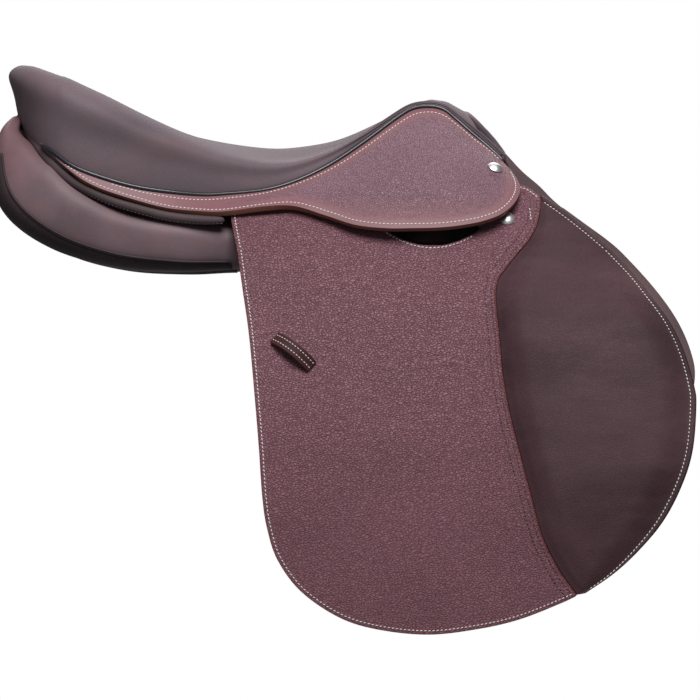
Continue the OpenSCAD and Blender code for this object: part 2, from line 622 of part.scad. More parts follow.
module gullet_plate() {
    color("silver")
        sheet(plate_block(tree_thickness + fit_gap),
            plate_block(tree_thickness + fit_gap + gullet_plate_thickness));
}
module head_rivets() {
    color("silver")
        for (q = [1.6, 3.2])
            for (side = [1, -1]) {
                p = head_row(q, side, 114 * length_ratio, 126 * length_ratio);
                down = head_row(q + 0.1, side, 114, 126)[0] - head_row(q - 0.1, side, 114, 126)[0];
                n = unit(cross(p[6] - p[0], down)) * side;
                translate(p[3] - n * (tree_thickness + fit_gap + gullet_plate_thickness + 1.5))
                    rotate([0, acos(n[2]), atan2(n[1], n[0])])
                        union() {
                            cylinder(h = 1.5 + gullet_plate_thickness + 5, d = 5, $fn = 32);
                            cylinder(h = 1.2, d = 10, $fn = 32);
                        }
            }
}
module left_tree_spring() {
    spread = spring_width / 18 * 0.6;
    columns = [4.5 + spread, 4.5, 4.5 - spread];
    rows = [13.8, 13, 12, 11, 10, 9, 8, 7, 6.2];
    depth = tree_bottom + fit_gap + 0.5;
    color("silver")
        sheet([for (r = rows) [for (c = columns) layer_at(r, c, 1, depth)]],
            [for (r = rows) [for (c = columns) layer_at(r, c, 1, depth + spring_thickness)]]);
}
module right_tree_spring() {
    mirrored() left_tree_spring();
}
module seat_webbing() {
    color("white")
        for (r = [6, 8, 9, 11, 12])
            sheet([for (d = [0.12, 0.88]) layer_row(r + d, 6, web_top)],
                [for (d = [0.12, 0.88]) layer_row(r + d, 6, web_bottom)]);
}

// Stirrup bar on the tree head, in a frame with y outward and z up along the drum
module at_bar() {
    translate([bar_x, drum_at(r_tree, bar_z), bar_z])
        rotate([bar_tilt, 0, 0])
            children();
}
module left_stirrup_bar() {
    half = bar_height / 2;
    color("silver")
        at_bar()
            difference() {
                union() {
                    translate([-bar_length / 2, fit_gap, -8])
                        cube([bar_length, bar_plate_thickness, 16]);
                    translate([bar_length / 2 - 12, fit_gap, -half])
                        cube([12, arm_out - fit_gap, bar_height]);
                    translate([catch_x + 7, arm_in, -half])
                        cube([bar_length / 2 - catch_x - 8, bar_thickness, bar_height]);
                    translate([catch_x, arm_in, -half])
                        cube([8, lap, bar_height]);
                    translate([catch_x, arm_in, 0])
                        rotate([-90, 0, 0])
                            cylinder(h = lap, d = bar_height, $fn = 48);
                }
                translate([catch_x, arm_in - 1, 0])
                    rotate([-90, 0, 0])
                        cylinder(h = bar_thickness + 2, d = catch_pin_diameter + 0.06, $fn = 32);
            }
}
module right_stirrup_bar() {
    mirrored() left_stirrup_bar();
}
module left_bar_catch() {
    half = bar_height / 2;
    color("silver")
        at_bar()
            difference() {
                union() {
                    translate([catch_x, arm_out - lap, 0])
                        rotate([-90, 0, 0])
                            cylinder(h = lap, d = bar_height, $fn = 48);
                    translate([catch_x - catch_length + half, arm_out - lap, -half])
                        cube([catch_length - half, lap, bar_height]);
                    translate([catch_x - catch_length + half, arm_out - lap, 0])
                        rotate([-90, 0, 0])
                            cylinder(h = lap, d = bar_height, $fn = 48);
                }
                translate([catch_x, arm_in - 1, 0])
                    rotate([-90, 0, 0])
                        cylinder(h = bar_thickness + 2, d = catch_pin_diameter + 2 * pin_clearance, $fn = 32);
            }
}
module right_bar_catch() {
    mirrored() left_bar_catch();
}
module left_catch_pin() {
    color("gray")
        at_bar()
            translate([catch_x, arm_in + 0.1, 0])
                rotate([-90, 0, 0])
                    cylinder(h = bar_thickness - 0.2, d = catch_pin_diameter, $fn = 32);
}
module right_catch_pin() {
    mirrored() left_catch_pin();
}
module bar_rivet(x) {
    at_bar()
        translate([x, fit_gap + bar_plate_thickness - 0.1, 0])
            rotate([-90, 0, 0])
                union() {
                    translate([0, 0, 1 - bar_plate_thickness])
                        cylinder(h = bar_plate_thickness - 1, d = 9, $fn = 32);
                    translate([0, 0, -tree_thickness])
                        cylinder(h = tree_thickness, d = 4, $fn = 32);
                }
}
module bar_rivets() {
    color("gray")
        for (x = [-bar_length / 2 + 12, 14]) {
            bar_rivet(x);
            mirrored() bar_rivet(x);
        }
}

// Nails: one through the skirt into the tree, one through the flap just below the skirt's nose
module nail(p, n, shank) {
    translate(p)
        rotate([0, acos(n[2]), atan2(n[1], n[0])])
            union() {
                intersection() {
                    translate([0, 0, 3.6 - nail_diameter * 0.72])
                        sphere(d = nail_diameter * 1.44, $fn = 64);
                    translate([0, 0, fit_gap])
                        cylinder(h = 6, d = nail_diameter, $fn = 64);
                }
                translate([0, 0, -shank])
                    cylinder(h = shank + 2, d = 3, $fn = 24);
            }
}
module left_nails() {
    p = skirt_point(16.68, 0.53);
    ahead = skirt_point(16.88, 0.53) - skirt_point(16.48, 0.53);
    n = unit(cross(ahead, skirt_point(16.68, 0.59) - skirt_point(16.68, 0.47)));
    q = on_drum(flap_radius, [192.5, bend_height + 27]);
    m = unit([0, q[1] - drum_y, q[2] - drum_z]);
    color("silver") {
        nail(p + n * 0.2, n, skirt_thickness + 8);
        nail(q, m, flap_thickness + 4);
    }
}
module right_nails() {
    mirrored() left_nails();
}

// Stirrup leather keeper: a strap loop sewn to the flap by its two ends
module left_keeper() {
    z = bend_height - 88 * flap_z_ratio;
    tilt = asin((z - drum_z) / flap_radius);
    e = keeper_length / 2;
    color("dimgray")
        translate(on_drum(flap_radius + fit_gap, [9.5, z]))
            rotate([tilt, 0, 0])
                rotate([0, 40, 0])
                    translate([0, 0, -keeper_width / 2])
                        linear_extrude(height = keeper_width)
                            polygon([[-e, 0.1], [-e, 2.8], [-e + 5, 3], [-e + 11, keeper_gap + 2.8],
                                [e - 11, keeper_gap + 2.8], [e - 5, 3], [e, 2.8], [e, 0.1], [e - 6, 0.1],
                                [e - 12, keeper_gap + fit_gap], [-e + 12, keeper_gap + fit_gap],
                                [-e + 6, 0.1]]);
}
module right_keeper() {
    mirrored() left_keeper();
}

// Panels: padded forms from below the head to behind the cantle, and the gusset at their back
panel_line = [[196, 46], [176, 44], [130, 41], [70, 34], [10, 27], [-45, 26], [-90, 24.5], [-140, 28],
    [-186, 43.5], [-219, 68.5], [-234, 97], [-239.5, 117], [-236.5, 130]];
panel_tilt = [46, 45, 43, 36, 28, 20, 14, 9, 6, 4, 2, 0, 0];
panel_half = [4, 12, 14, 18, 22, 22.5, 24.5, 27, 31, 32, 20, 9.5, 3];
panel_in = [50, 38, 36, 34, 34, 34, 34, 34, 34, 32, 32, 36, 44];
panel_out = [88, 100, 103, 104, 104.5, 110, 120, 121, 119, 108, 92, 80, 66];
function panel_ring(t, grow, angles) =
    let (c = spline_at(panel_line, t), d = spline_at(panel_line, t + 0.02) - spline_at(panel_line, t - 0.02))
    let (w = unit([d[0], d[1]]), a = spline_at(panel_tilt, t))
    let (h = spline_at(panel_half, t) * panel_thickness / 54 + grow)
    let (front = 1 - smooth((t - 4.6) / 1.4), follow = lerp(width_ratio, head_ratio, front))
    let (drop = 42 * max(0, 1 - head_ratio) * front)
    let (y0 = spline_at(panel_in, t) * follow + channel_width / 2 - 34, y1 = spline_at(panel_out, t) * follow)
    let (e = (y1 - y0) / 2 + grow)
    [for (g = angles)
        let (cy = cos(g), cz = sin(g))
        let (full = 0.75 - (0.22 - 0.18 * smooth((t - 6.5) / 2)) * smooth((t - 4) / 2) * smooth(cy * 4)
            * smooth(cz * 4))
        let (l = e / cos(a) * sign(cy) * pow(abs(cy), full), m = h * sign(cz) * pow(abs(cz), full))
        let (y = (y0 + y1) / 2 + l * cos(a) + m * sin(a) * 0.6, u = m * cos(a * 0.5) - l * sin(a))
        [(c[0] + u * w[1]) * length_ratio, y, c[1] - u * w[0] - drop]];
panel_rows = [0, 0.4, 1, 1.6, 2.3, 3, 3.7, 4.4, 5, 5.6, 6.2, 6.8, 7.4, 8, 8.6, 9.2, 9.7, 10.2, 10.8,
    11.4, 12];
module left_panel() {
    color("dimgray")
        loft([for (t = panel_rows)
            panel_ring(t, t > 4.5 ? -gusset_thickness - fit_gap : 0, [for (k = [0 : 17]) 20 * k])]);
}
module right_panel() {
    mirrored() left_panel();
}
module left_gusset() {
    angles = [-20, -40, -60, -80];
    rows = [for (t = panel_rows) if (t > 4.9 && t < 10.3) t];
    color("gray")
        sheet([for (t = rows) panel_ring(t, 0, angles)],
            [for (t = rows) panel_ring(t, -gusset_thickness, angles)]);
}
module right_gusset() {
    mirrored() left_gusset();
}

// Facings: the roll round the back below the cantle, and the strip over the pommel arch
roll_points = [[-50, 118, 38.8], [-72, 118.5, 39.2], [-98, 119, 42.1], [-124, 118.5, 48.4], [-150,
    116.2, 56.6], [-177, 110, 70], [-195.6, 99.2, 84.6], [-209, 85.1, 99.7], [-218, 67.5, 111.8],
    [-224.5, 45, 120.6], [-229, 22, 127.4], [-230.5, 0, 130]];
roll_half = [2, 4, 4.3, 4.2, 4.2, 4.6, 5, 5, 5, 5, 5, 5];
module cantle_facing() {
    half = [for (i = [0 : 22]) let (p = spline_at(roll_points, i / 2))
        [p[0] * length_ratio, p[1] * width_ratio, p[2] + lift(p[0])]];
    size = [for (i = [0 : 22]) spline_at(roll_half, i / 2)];
    path = concat(half, [for (i = [21 : -1 : 0]) [half[i][0], -half[i][1], half[i][2]]]);
    high = concat(size, [for (i = [21 : -1 : 0]) size[i]]);
    color("dimgray")
        loft(tube_rings(path, high, high, 10));
}
facing_back = [[163.5, 0, 133], [166.5, 17, 129], [174, 33, 120], [182, 46, 109], [189, 57, 99], [195,
    67, 89], [200, 81, 74], [210, 90.5, 60.5]];
facing_front = [[168, 0, 129], [171.5, 17, 125], [179, 33, 117], [188, 46, 106], [197, 58, 93.5], [206,
    69, 82], [219, 82, 69], [233, 93, 58]];
function facing_row(t, side) =
    [for (v = [0, 0.5, 1])
        let (p = lerp(spline_at(facing_back, t), spline_at(facing_front, t), v))
        let (shift = min(drum_shift(60), drum_shift(60) * 0.5) * smooth((t - 4.6) / 2.2))
        let (y = p[1] * lerp(width_ratio, 1, smooth((t - 4) / 2)) + shift)
        [p[0] * length_ratio, y * side, p[2] + lift(p[0])]];
module head_facing() {
    color("dimgray")
        slab(concat([for (i = [14 : -1 : 1]) facing_row(i / 2, -1)],
            [for (i = [0 : 14]) facing_row(i / 2, 1)]), 0, 4);
}

tree_seat();
tree_head();
gullet_plate();
head_rivets();
left_tree_spring();
right_tree_spring();
seat_webbing();
seat_foam();
seat_cover();
left_welt();
right_welt();
left_skirt_upper();
right_skirt_upper();
left_skirt_lower();
right_skirt_lower();
left_nails();
right_nails();
left_flap_upper();
right_flap_upper();
left_pad_upper();
right_pad_upper();
left_flap_lining();
right_flap_lining();
left_flap_cover();
right_flap_cover();
left_knee_pad();
right_knee_pad();
left_keeper();
right_keeper();
left_stirrup_bar();
right_stirrup_bar();
left_bar_catch();
right_bar_catch();
left_catch_pin();
right_catch_pin();
bar_rivets();
left_sweat_flap();
right_sweat_flap();
left_knee_block();
right_knee_block();
left_thigh_block();
right_thigh_block();
left_panel();
right_panel();
left_gusset();
right_gusset();
cantle_facing();
head_facing();
left_front_billet();
left_middle_billet();
left_rear_billet();
right_front_billet();
right_middle_billet();
right_rear_billet();
left_billet_webs();
right_billet_webs();
left_billet_guard();
right_billet_guard();
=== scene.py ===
import math
import bmesh
import bpy
from mathutils import Matrix, Vector, kdtree


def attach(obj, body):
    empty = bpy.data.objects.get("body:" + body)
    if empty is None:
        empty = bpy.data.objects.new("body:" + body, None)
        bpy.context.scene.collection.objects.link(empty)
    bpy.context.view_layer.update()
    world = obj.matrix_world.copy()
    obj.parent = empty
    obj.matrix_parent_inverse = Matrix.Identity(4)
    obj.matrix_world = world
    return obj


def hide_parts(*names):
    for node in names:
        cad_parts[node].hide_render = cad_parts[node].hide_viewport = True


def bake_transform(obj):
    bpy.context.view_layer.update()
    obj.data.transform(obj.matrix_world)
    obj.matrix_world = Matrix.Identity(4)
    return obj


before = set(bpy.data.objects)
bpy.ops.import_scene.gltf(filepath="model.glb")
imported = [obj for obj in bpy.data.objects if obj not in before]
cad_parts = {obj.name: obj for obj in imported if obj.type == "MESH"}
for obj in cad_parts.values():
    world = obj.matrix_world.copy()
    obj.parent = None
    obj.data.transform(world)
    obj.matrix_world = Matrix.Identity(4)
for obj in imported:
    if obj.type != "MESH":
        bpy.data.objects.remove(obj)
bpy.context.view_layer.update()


# Tree: the saddle's frame, beech veneers glued and bent in a mould, then stained and lacquered.
# The head arches over the withers and the seat part carries the cantle.
def new_finish(name, values):
    finish = bpy.data.materials.new(name)
    finish.use_nodes = True
    for socket, value in values.items():
        finish.node_tree.nodes["Principled BSDF"].inputs[socket].default_value = value
    return finish


def shader_node(tree, kind, values):
    node = tree.nodes.new("ShaderNode" + kind)
    for socket, value in values.items():
        node.inputs[socket].default_value = value
    return node


def wire(tree, links):
    for source, result, target, socket in links:
        tree.links.new(source.outputs[result], target.inputs[socket])


def finish_node(name, material, smooth_angle=0.6):
    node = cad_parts[name]
    node.data.materials.clear()
    node.data.materials.append(material)
    for face in node.data.polygons:
        face.use_smooth = True
    node.data.set_sharp_from_angle(angle=smooth_angle)


wood = new_finish("Beech laminate", {"Roughness": 0.38, "Coat Weight": 0.3})
wood_tree = wood.node_tree
wood_coords = shader_node(wood_tree, "TexCoord", {})
wood_map = shader_node(wood_tree, "Mapping", {"Scale": (14, 60, 260)})
wood_noise = shader_node(wood_tree, "TexNoise", {"Scale": 2.4, "Detail": 5})
wood_ramp = shader_node(wood_tree, "ValToRGB", {})
wood_ramp.color_ramp.elements[0].position = 0.3
wood_ramp.color_ramp.elements[0].color = (0.05, 0.026, 0.014, 1)
wood_ramp.color_ramp.elements[1].position = 0.72
wood_ramp.color_ramp.elements[1].color = (0.12, 0.066, 0.036, 1)
wire(wood_tree, [
    (wood_coords, "Object", wood_map, "Vector"),
    (wood_map, "Vector", wood_noise, "Vector"),
    (wood_noise, "Fac", wood_ramp, "Fac"),
    (wood_ramp, "Color", wood_tree.nodes["Principled BSDF"], "Base Color")])
finish_node("tree_seat", wood)
finish_node("tree_head", wood)

# Steel of the tree: a pressed gullet plate riveted under the head and two springs along the rails.
# Rolled sheet steel, blued and oiled.
steel = new_finish("Blued steel", {"Base Color": (0.42, 0.43, 0.45, 1), "Metallic": 1})
steel_tree = steel.node_tree
steel_coords = shader_node(steel_tree, "TexCoord", {})
steel_noise = shader_node(steel_tree, "TexNoise", {"Scale": 60, "Detail": 4})
steel_range = shader_node(steel_tree, "MapRange", {"To Min": 0.22, "To Max": 0.48})
wire(steel_tree, [
    (steel_coords, "Object", steel_noise, "Vector"),
    (steel_noise, "Fac", steel_range, "Value"),
    (steel_range, "Result", steel_tree.nodes["Principled BSDF"], "Roughness")])
for steel_name in ["gullet_plate", "head_rivets", "left_tree_spring", "right_tree_spring", "bar_rivets"]:
    finish_node(steel_name, steel)

# Stirrup bars: forged steel bars riveted to the head, each with a thumb catch hinged on a pin.
# Plated and polished by tumbling. Each side of the saddle has a name and a sign for y.
plated = new_finish("Plated steel", {"Base Color": (0.62, 0.62, 0.63, 1), "Metallic": 1, "Roughness": 0.24})
sides = [("left", 1), ("right", -1)]
for name, side in sides:
    finish_node(name + "_stirrup_bar", plated)
    finish_node(name + "_bar_catch", plated)
    finish_node(name + "_catch_pin", plated)


# Seat webbing: woven nylon straps strained across the tree below the padding.
# They share the seat's own curve, so its points and the smooth curves are worked out here.
def spline_at(points, t):
    last = len(points) - 1
    i = max(0, min(last - 1, math.floor(t)))
    f = t - i
    a = points[max(0, i - 1)]
    b = points[i]
    c = points[i + 1]
    d = points[min(last, i + 2)]
    return tuple(0.5 * (2 * q + (r - p) * f + (2 * p - 5 * q + 4 * r - s) * f * f
                        + (3 * q - p - 3 * r + s) * f * f * f) for p, q, r, s in zip(a, b, c, d))


def along(points, t):
    return spline_at(points, t * (len(points) - 1))


def ease(t):
    t = max(0.0, min(1.0, t))
    return t * t * (3 - 2 * t)


def mix(a, b, t):
    return tuple(p + (q - p) * t for p, q in zip(a, b))


def at(p, side=1):
    return Vector((p[0], p[1] * side, p[2])) * 0.001


crown_points = [(-193, 154.5), (-185, 152), (-163, 144), (-128, 131.5), (-93, 118.6), (-57, 110.8),
                (-22, 106), (0, 105.4), (31, 109.2), (49, 113.6), (66, 120.3), (84, 128.8),
                (102, 137.2), (119, 146), (131, 149), (141, 148)]
seam_points = [(-236.5, 0, 139), (-232.5, 45, 130), (-219, 80, 114), (-198, 103, 100), (-178, 112, 86),
               (-151, 116, 76), (-125, 116, 69), (-98, 113, 65), (-72, 107, 62.5), (-53, 102, 63),
               (-17, 93, 66.5), (11, 86, 75), (39.5, 78, 89.5), (68, 66, 109), (97, 53, 131),
               (112, 47, 140), (128, 44, 142), (140, 45, 139), (150, 47, 131), (161, 51, 121),
               (173, 57, 110), (184, 62, 99.5), (192, 66, 92), (187, 57, 101), (180, 46, 111),
               (172, 33, 122), (165, 17, 131), (162, 0, 135)]
shoulder_shares = [(s,) for s in [-2.14, -1.19, -0.615, -0.316, -0.178, -0.113, -0.045, 0, 0.085, 0.174,
                                  0.3, 0.38, 0.4, 0.42, 0.45, 0.5, 0.55, 0.62, 0.7, 0.76, 0.8, 0.84,
                                  0.87, 0.84, 0.8, 0.76, 0.7, 0.66]]
bulge_shares = [(s,) for s in [0.26, 0.16, 0.07, 0.04, 0.03, 0.03, 0.03, 0.02, 0.01, 0, -0.02, -0.02, -0.02]
                + [0] * 15]


def crown_height(x):
    i = 0
    while i < len(crown_points) - 2 and crown_points[i + 1][0] <= x:
        i += 1
    slopes = []
    for j in (i, i + 1):
        a = crown_points[max(0, j - 1)]
        b = crown_points[min(len(crown_points) - 1, j + 1)]
        slopes.append((b[1] - a[1]) / (b[0] - a[0]))
    w = crown_points[i + 1][0] - crown_points[i][0]
    f = max(0.0, min(1.0, (x - crown_points[i][0]) / w))
    a = slopes[0] * w
    b = slopes[1] * w
    d = crown_points[i + 1][1] - crown_points[i][1]
    return crown_points[i][1] + a * f + (3 * d - 2 * a - b) * f * f + (a + b - 2 * d) * f * f * f


def seat_middle(k):
    if k > 16:
        return 128 + 1.2 * (k - 16)
    x = spline_at(seam_points, k)[0]
    return (x - 185 + math.hypot(x + 185, 14)) / 2


def seat_point(k, s):
    b = spline_at(seam_points, k)
    c = seat_middle(k)
    x = c if k > 16 else c + 0.15 * (b[0] - c)
    top = min(c, 131)
    z0 = crown_height(top) - 0.017 * (c - top) ** 2
    z2 = z0 - spline_at(shoulder_shares, k)[0] * (z0 - b[2])
    g = spline_at(bulge_shares, k)[0]
    d = z2 - b[2]
    z1 = z0 + (0.2 + 0.3 * ease((k - 16) / 3)) * (z2 - z0)
    rise = (crown_height(top + 2) - crown_height(top - 2)) / 4 * (b[0] - x)
    tuck = 5 + 12 * ease((k - 1) / 2) * (1 - ease((k - 8.5) / 2))
    line = [(-0.45, z1 - 0.9 * rise), (0, z0), (0.45, z1), (0.8, z2),
            (1 + 0.8 * g, z2 - (0.22 - 0.06 * (1 - ease(k / 2))) * d),
            (1 + 0.35 * g, z2 - 0.6 * d), (1, b[2]), (0.95, b[2] - tuck)]
    q = spline_at(line, abs(s) + 1)
    return Vector((x + q[0] * (b[0] - x), q[0] * b[1] * (1 if s >= 0 else -1), q[1]))


def seat_below(k, s, depth):
    p = seat_point(k, s)
    b = spline_at(seam_points, k)
    c = seat_middle(k) if k > 16 else 0.85 * seat_middle(k) + 0.15 * b[0]
    inward = (Vector((c, 0, crown_height(min(c, 131)) - 75)) - p).normalized()
    across = seat_point(k + 0.05, s) - seat_point(k - 0.05, s)
    down = seat_point(k, s + 0.05) - seat_point(k, s - 0.05)
    normal = across.cross(down)
    share = abs(inward.dot(normal.normalized())) if normal.length > 1e-9 else 1
    return p + inward * depth / max(0.6, share)


def grid_mesh(rows, cols, place):
    bm = bmesh.new()
    bmesh.ops.create_grid(bm, x_segments=rows, y_segments=cols, size=0.5)
    for v in bm.verts:
        v.co = place(v.co.x + 0.5, v.co.y + 0.5)
    for f in bm.faces:
        f.smooth = True
    return bm


def new_piece(name, bm, materials, outward=None):
    bmesh.ops.remove_doubles(bm, verts=bm.verts, dist=0.000002)
    bmesh.ops.recalc_face_normals(bm, faces=bm.faces)
    if outward is not None and sum(f.normal.dot(outward) * f.calc_area() for f in bm.faces) < 0:
        bmesh.ops.reverse_faces(bm, faces=bm.faces)
    mesh = bpy.data.meshes.new(name)
    bm.to_mesh(mesh)
    bm.free()
    obj = bpy.data.objects.new(name, mesh)
    bpy.context.scene.collection.objects.link(obj)
    for material in materials:
        mesh.materials.append(material)
    return obj


def add_part(bm, part):
    mesh = bpy.data.meshes.new("part")
    part.to_mesh(mesh)
    part.free()
    bm.from_mesh(mesh)
    bpy.data.meshes.remove(mesh)


def thicken(obj, thickness, bevel=0.0, rim=0):
    solid = obj.modifiers.new("Thickness", "SOLIDIFY")
    solid.thickness = thickness
    solid.offset = -1
    solid.material_offset_rim = rim
    if bevel:
        edge = obj.modifiers.new("Edge", "BEVEL")
        edge.width = bevel
        edge.segments = 3
        edge.limit_method = "ANGLE"
        edge.angle_limit = math.radians(50)
        edge.harden_normals = False


# The webbing is painted near-black. This is painted shade, so that the billet tapes seen through the flap
# window read as the deep shade there.
shade_dark_web = new_finish("Nylon webbing painted dark", {"Base Color": (0.02, 0.02, 0.021, 1), "Roughness": 0.8})
web_tree = shade_dark_web.node_tree
web_coords = shader_node(web_tree, "TexCoord", {})
web_wave = shader_node(web_tree, "TexWave", {"Scale": 500})
web_bump = shader_node(web_tree, "Bump", {"Strength": 0.4, "Distance": 0.0005})
wire(web_tree, [
    (web_coords, "Object", web_wave, "Vector"),
    (web_wave, "Fac", web_bump, "Height"),
    (web_bump, "Normal", web_tree.nodes["Principled BSDF"], "Normal")])
web_depth = 16.9
web_reach = 2.95
web_spans = [(4.12, 4.88), (6.12, 6.88), (7.12, 7.88), (9.12, 9.88), (10.12, 10.88)]
web_mesh = bmesh.new()
for web_a, web_b in web_spans:
    add_part(web_mesh, grid_mesh(6, 40, lambda u, v: seat_below(
        web_a + (web_b - web_a) * u, web_reach * (1 - 2 * v), web_depth) * 0.001))
webbing = new_piece("seat_webbing_straps", web_mesh, [shade_dark_web], Vector((0, 0, 1)))
thicken(webbing, 0.0018)
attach(webbing, "saddle")
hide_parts("seat_webbing")

# Seat padding: a block of cut foam, skived thin at its edges, glued over the webbing.
# It shows only where nothing covers it from below.
foam = new_finish("Seat foam", {"Base Color": (0.68, 0.6, 0.42, 1), "Roughness": 0.95})
foam_tree = foam.node_tree
foam_coords = shader_node(foam_tree, "TexCoord", {})
foam_noise = shader_node(foam_tree, "TexNoise", {"Scale": 900})
foam_bump = shader_node(foam_tree, "Bump", {"Distance": 0.0006})
wire(foam_tree, [
    (foam_coords, "Object", foam_noise, "Vector"),
    (foam_noise, "Fac", foam_bump, "Height"),
    (foam_bump, "Normal", foam_tree.nodes["Principled BSDF"], "Normal")])
padding_end = 12.4
padding_reach = 3.7
padding_depth = 4.8
padding_mesh = grid_mesh(70, 40, lambda u, v: seat_below(
    padding_end * u, padding_reach * (1 - 2 * v), padding_depth) * 0.001)
padding = new_piece("seat_padding", padding_mesh, [foam], Vector((0, 0, 1)))
thicken(padding, 0.0114, 0.002)
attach(padding, "saddle")
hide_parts("seat_foam")

# Seat: one hide of smooth calf, wetted and blocked over the padding, drawn down to the seam all round.
# All the leathers share one grain, pebbles with creases between them, in different sizes and depths.
hide_grain = bpy.data.node_groups.new("Hide grain", "ShaderNodeTree")
for socket_name, socket_way, socket_kind in [
        ("Vector", "INPUT", "NodeSocketVector"), ("Pebble", "INPUT", "NodeSocketFloat"),
        ("Height", "OUTPUT", "NodeSocketFloat"), ("Cloud", "OUTPUT", "NodeSocketFloat"),
        ("Mottle", "OUTPUT", "NodeSocketFloat")]:
    hide_grain.interface.new_socket(name=socket_name, in_out=socket_way, socket_type=socket_kind)
grain_in = hide_grain.nodes.new("NodeGroupInput")
grain_out = hide_grain.nodes.new("NodeGroupOutput")
grain_warp = shader_node(hide_grain, "TexNoise", {"Scale": 170, "Detail": 3})
grain_centre = shader_node(hide_grain, "VectorMath", {1: (0.5, 0.5, 0.5)})
grain_centre.operation = "SUBTRACT"
grain_shift = shader_node(hide_grain, "VectorMath", {1: (0.005, 0.005, 0.005)})
grain_shift.operation = "MULTIPLY_ADD"
grain_cells = shader_node(hide_grain, "TexVoronoi", {})
grain_cells.feature = "DISTANCE_TO_EDGE"
grain_domes = shader_node(hide_grain, "MapRange", {"From Max": 0.19})
grain_domes.interpolation_type = "SMOOTHSTEP"
grain_finer = shader_node(hide_grain, "Math", {1: 1.6})
grain_finer.operation = "MULTIPLY"
grain_fine = shader_node(hide_grain, "TexNoise", {"Detail": 4})
grain_sum = shader_node(hide_grain, "Math", {1: 0.25})
grain_sum.operation = "MULTIPLY_ADD"
grain_cloud = shader_node(hide_grain, "TexNoise", {"Scale": 16, "Detail": 5})
grain_mottle = shader_node(hide_grain, "TexNoise", {"Scale": 34, "Detail": 7, "Roughness": 0.62})
wire(hide_grain, [
    (grain_in, "Vector", grain_warp, "Vector"),
    (grain_warp, "Color", grain_centre, 0),
    (grain_centre, 0, grain_shift, 0),
    (grain_in, "Vector", grain_shift, 2),
    (grain_shift, 0, grain_cells, "Vector"),
    (grain_in, "Pebble", grain_cells, "Scale"),
    (grain_cells, "Distance", grain_domes, "Value"),
    (grain_in, "Pebble", grain_finer, 0),
    (grain_in, "Vector", grain_fine, "Vector"),
    (grain_finer, 0, grain_fine, "Scale"),
    (grain_fine, "Fac", grain_sum, 0),
    (grain_domes, "Result", grain_sum, 2),
    (grain_in, "Vector", grain_cloud, "Vector"),
    (grain_in, "Vector", grain_mottle, "Vector"),
    (grain_sum, 0, grain_out, "Height"),
    (grain_cloud, "Fac", grain_out, "Cloud"),
    (grain_mottle, "Fac", grain_out, "Mottle")])


edge_dye = (0.16, 0.05, 0.053)


def colour_mix(tree, first, second):
    node = tree.nodes.new("ShaderNodeMix")
    node.data_type = "RGBA"
    node.inputs[6].default_value = (*first, 1)
    node.inputs[7].default_value = (*second, 1)
    return node


def painted_on(tree, attribute):
    node = tree.nodes.new("ShaderNodeAttribute")
    node.attribute_name = attribute
    return node


def leather(name, deep, light, pebble, depth, rough, gloss=0.2, cloud=0.2, tint=None, stretch=(1, 1, 1),
            worn=0.4, margin=None, relief=0.0005):
    material = new_finish(name, {"Roughness": rough, "Specular IOR Level": gloss})
    tree = material.node_tree
    bsdf = tree.nodes["Principled BSDF"]
    coords = shader_node(tree, "TexCoord", {})
    pull = shader_node(tree, "VectorMath", {1: stretch})
    pull.operation = "MULTIPLY"
    grain = tree.nodes.new("ShaderNodeGroup")
    grain.node_tree = hide_grain
    grain.inputs["Pebble"].default_value = pebble
    plain = painted_on(tree, "plain")
    rim = painted_on(tree, "rim")
    level = shader_node(tree, "Mix", {3: 0.9})
    crease = shader_node(tree, "MapRange", {"From Min": 0.2, "From Max": 1.2})
    tone = colour_mix(tree, deep, light)
    patch = shader_node(tree, "MapRange", {"From Min": 0.3, "From Max": 0.7, "To Min": 1 - cloud,
                                           "To Max": 1 + cloud})
    shade = tree.nodes.new("ShaderNodeVectorMath")
    shade.operation = "SCALE"
    rub = shader_node(tree, "MapRange", {"From Min": 0.48, "From Max": 0.72,
                                         "To Max": worn if tint else 0.0})
    blush = colour_mix(tree, light, tint or light)
    # Border lays the margin colour where the plain mark is high. On the skirt this frames a painted sheen in
    # the middle.
    border = colour_mix(tree, light, margin or light)
    edge = colour_mix(tree, light, edge_dye)
    bump = shader_node(tree, "Bump", {"Strength": depth, "Distance": relief})
    wire(tree, [
        (coords, "Object", pull, 0),
        (pull, 0, grain, "Vector"),
        (plain, "Fac", level, 0),
        (grain, "Height", level, 2),
        (level, 0, crease, "Value"),
        (crease, "Result", tone, 0),
        (grain, "Cloud", patch, "Value"),
        (tone, 2, shade, 0),
        (patch, "Result", shade, "Scale"),
        (grain, "Mottle", rub, "Value"),
        (rub, "Result", blush, 0),
        (shade, 0, blush, 6),
        (plain, "Fac", border, 0),
        (blush, 2, border, 6),
        (rim, "Fac", edge, 0),
        (border, 2, edge, 6),
        (edge, 2, bsdf, "Base Color"),
        (level, 0, bump, "Height"),
        (bump, "Normal", bsdf, "Normal")])
    return material


def mark(obj, name, value):
    data = obj.data.attributes.new(name, "FLOAT", "POINT").data
    for vertex in obj.data.vertices:
        data[vertex.index].value = value(vertex.co * 1000)


def distance_to(points):
    tree = kdtree.KDTree(len(points))
    for i, point in enumerate(points):
        tree.insert(point, i)
    tree.balance()
    return lambda p: tree.find(p)[2]


def seat_reach(k):
    return 5 + 0.9 * (1 - ease((k - 20) / 3))


def relax(bm, verts, times):
    for step in range(times):
        bmesh.ops.smooth_vert(bm, verts=verts, factor=0.4, use_axis_x=True, use_axis_y=True, use_axis_z=True)


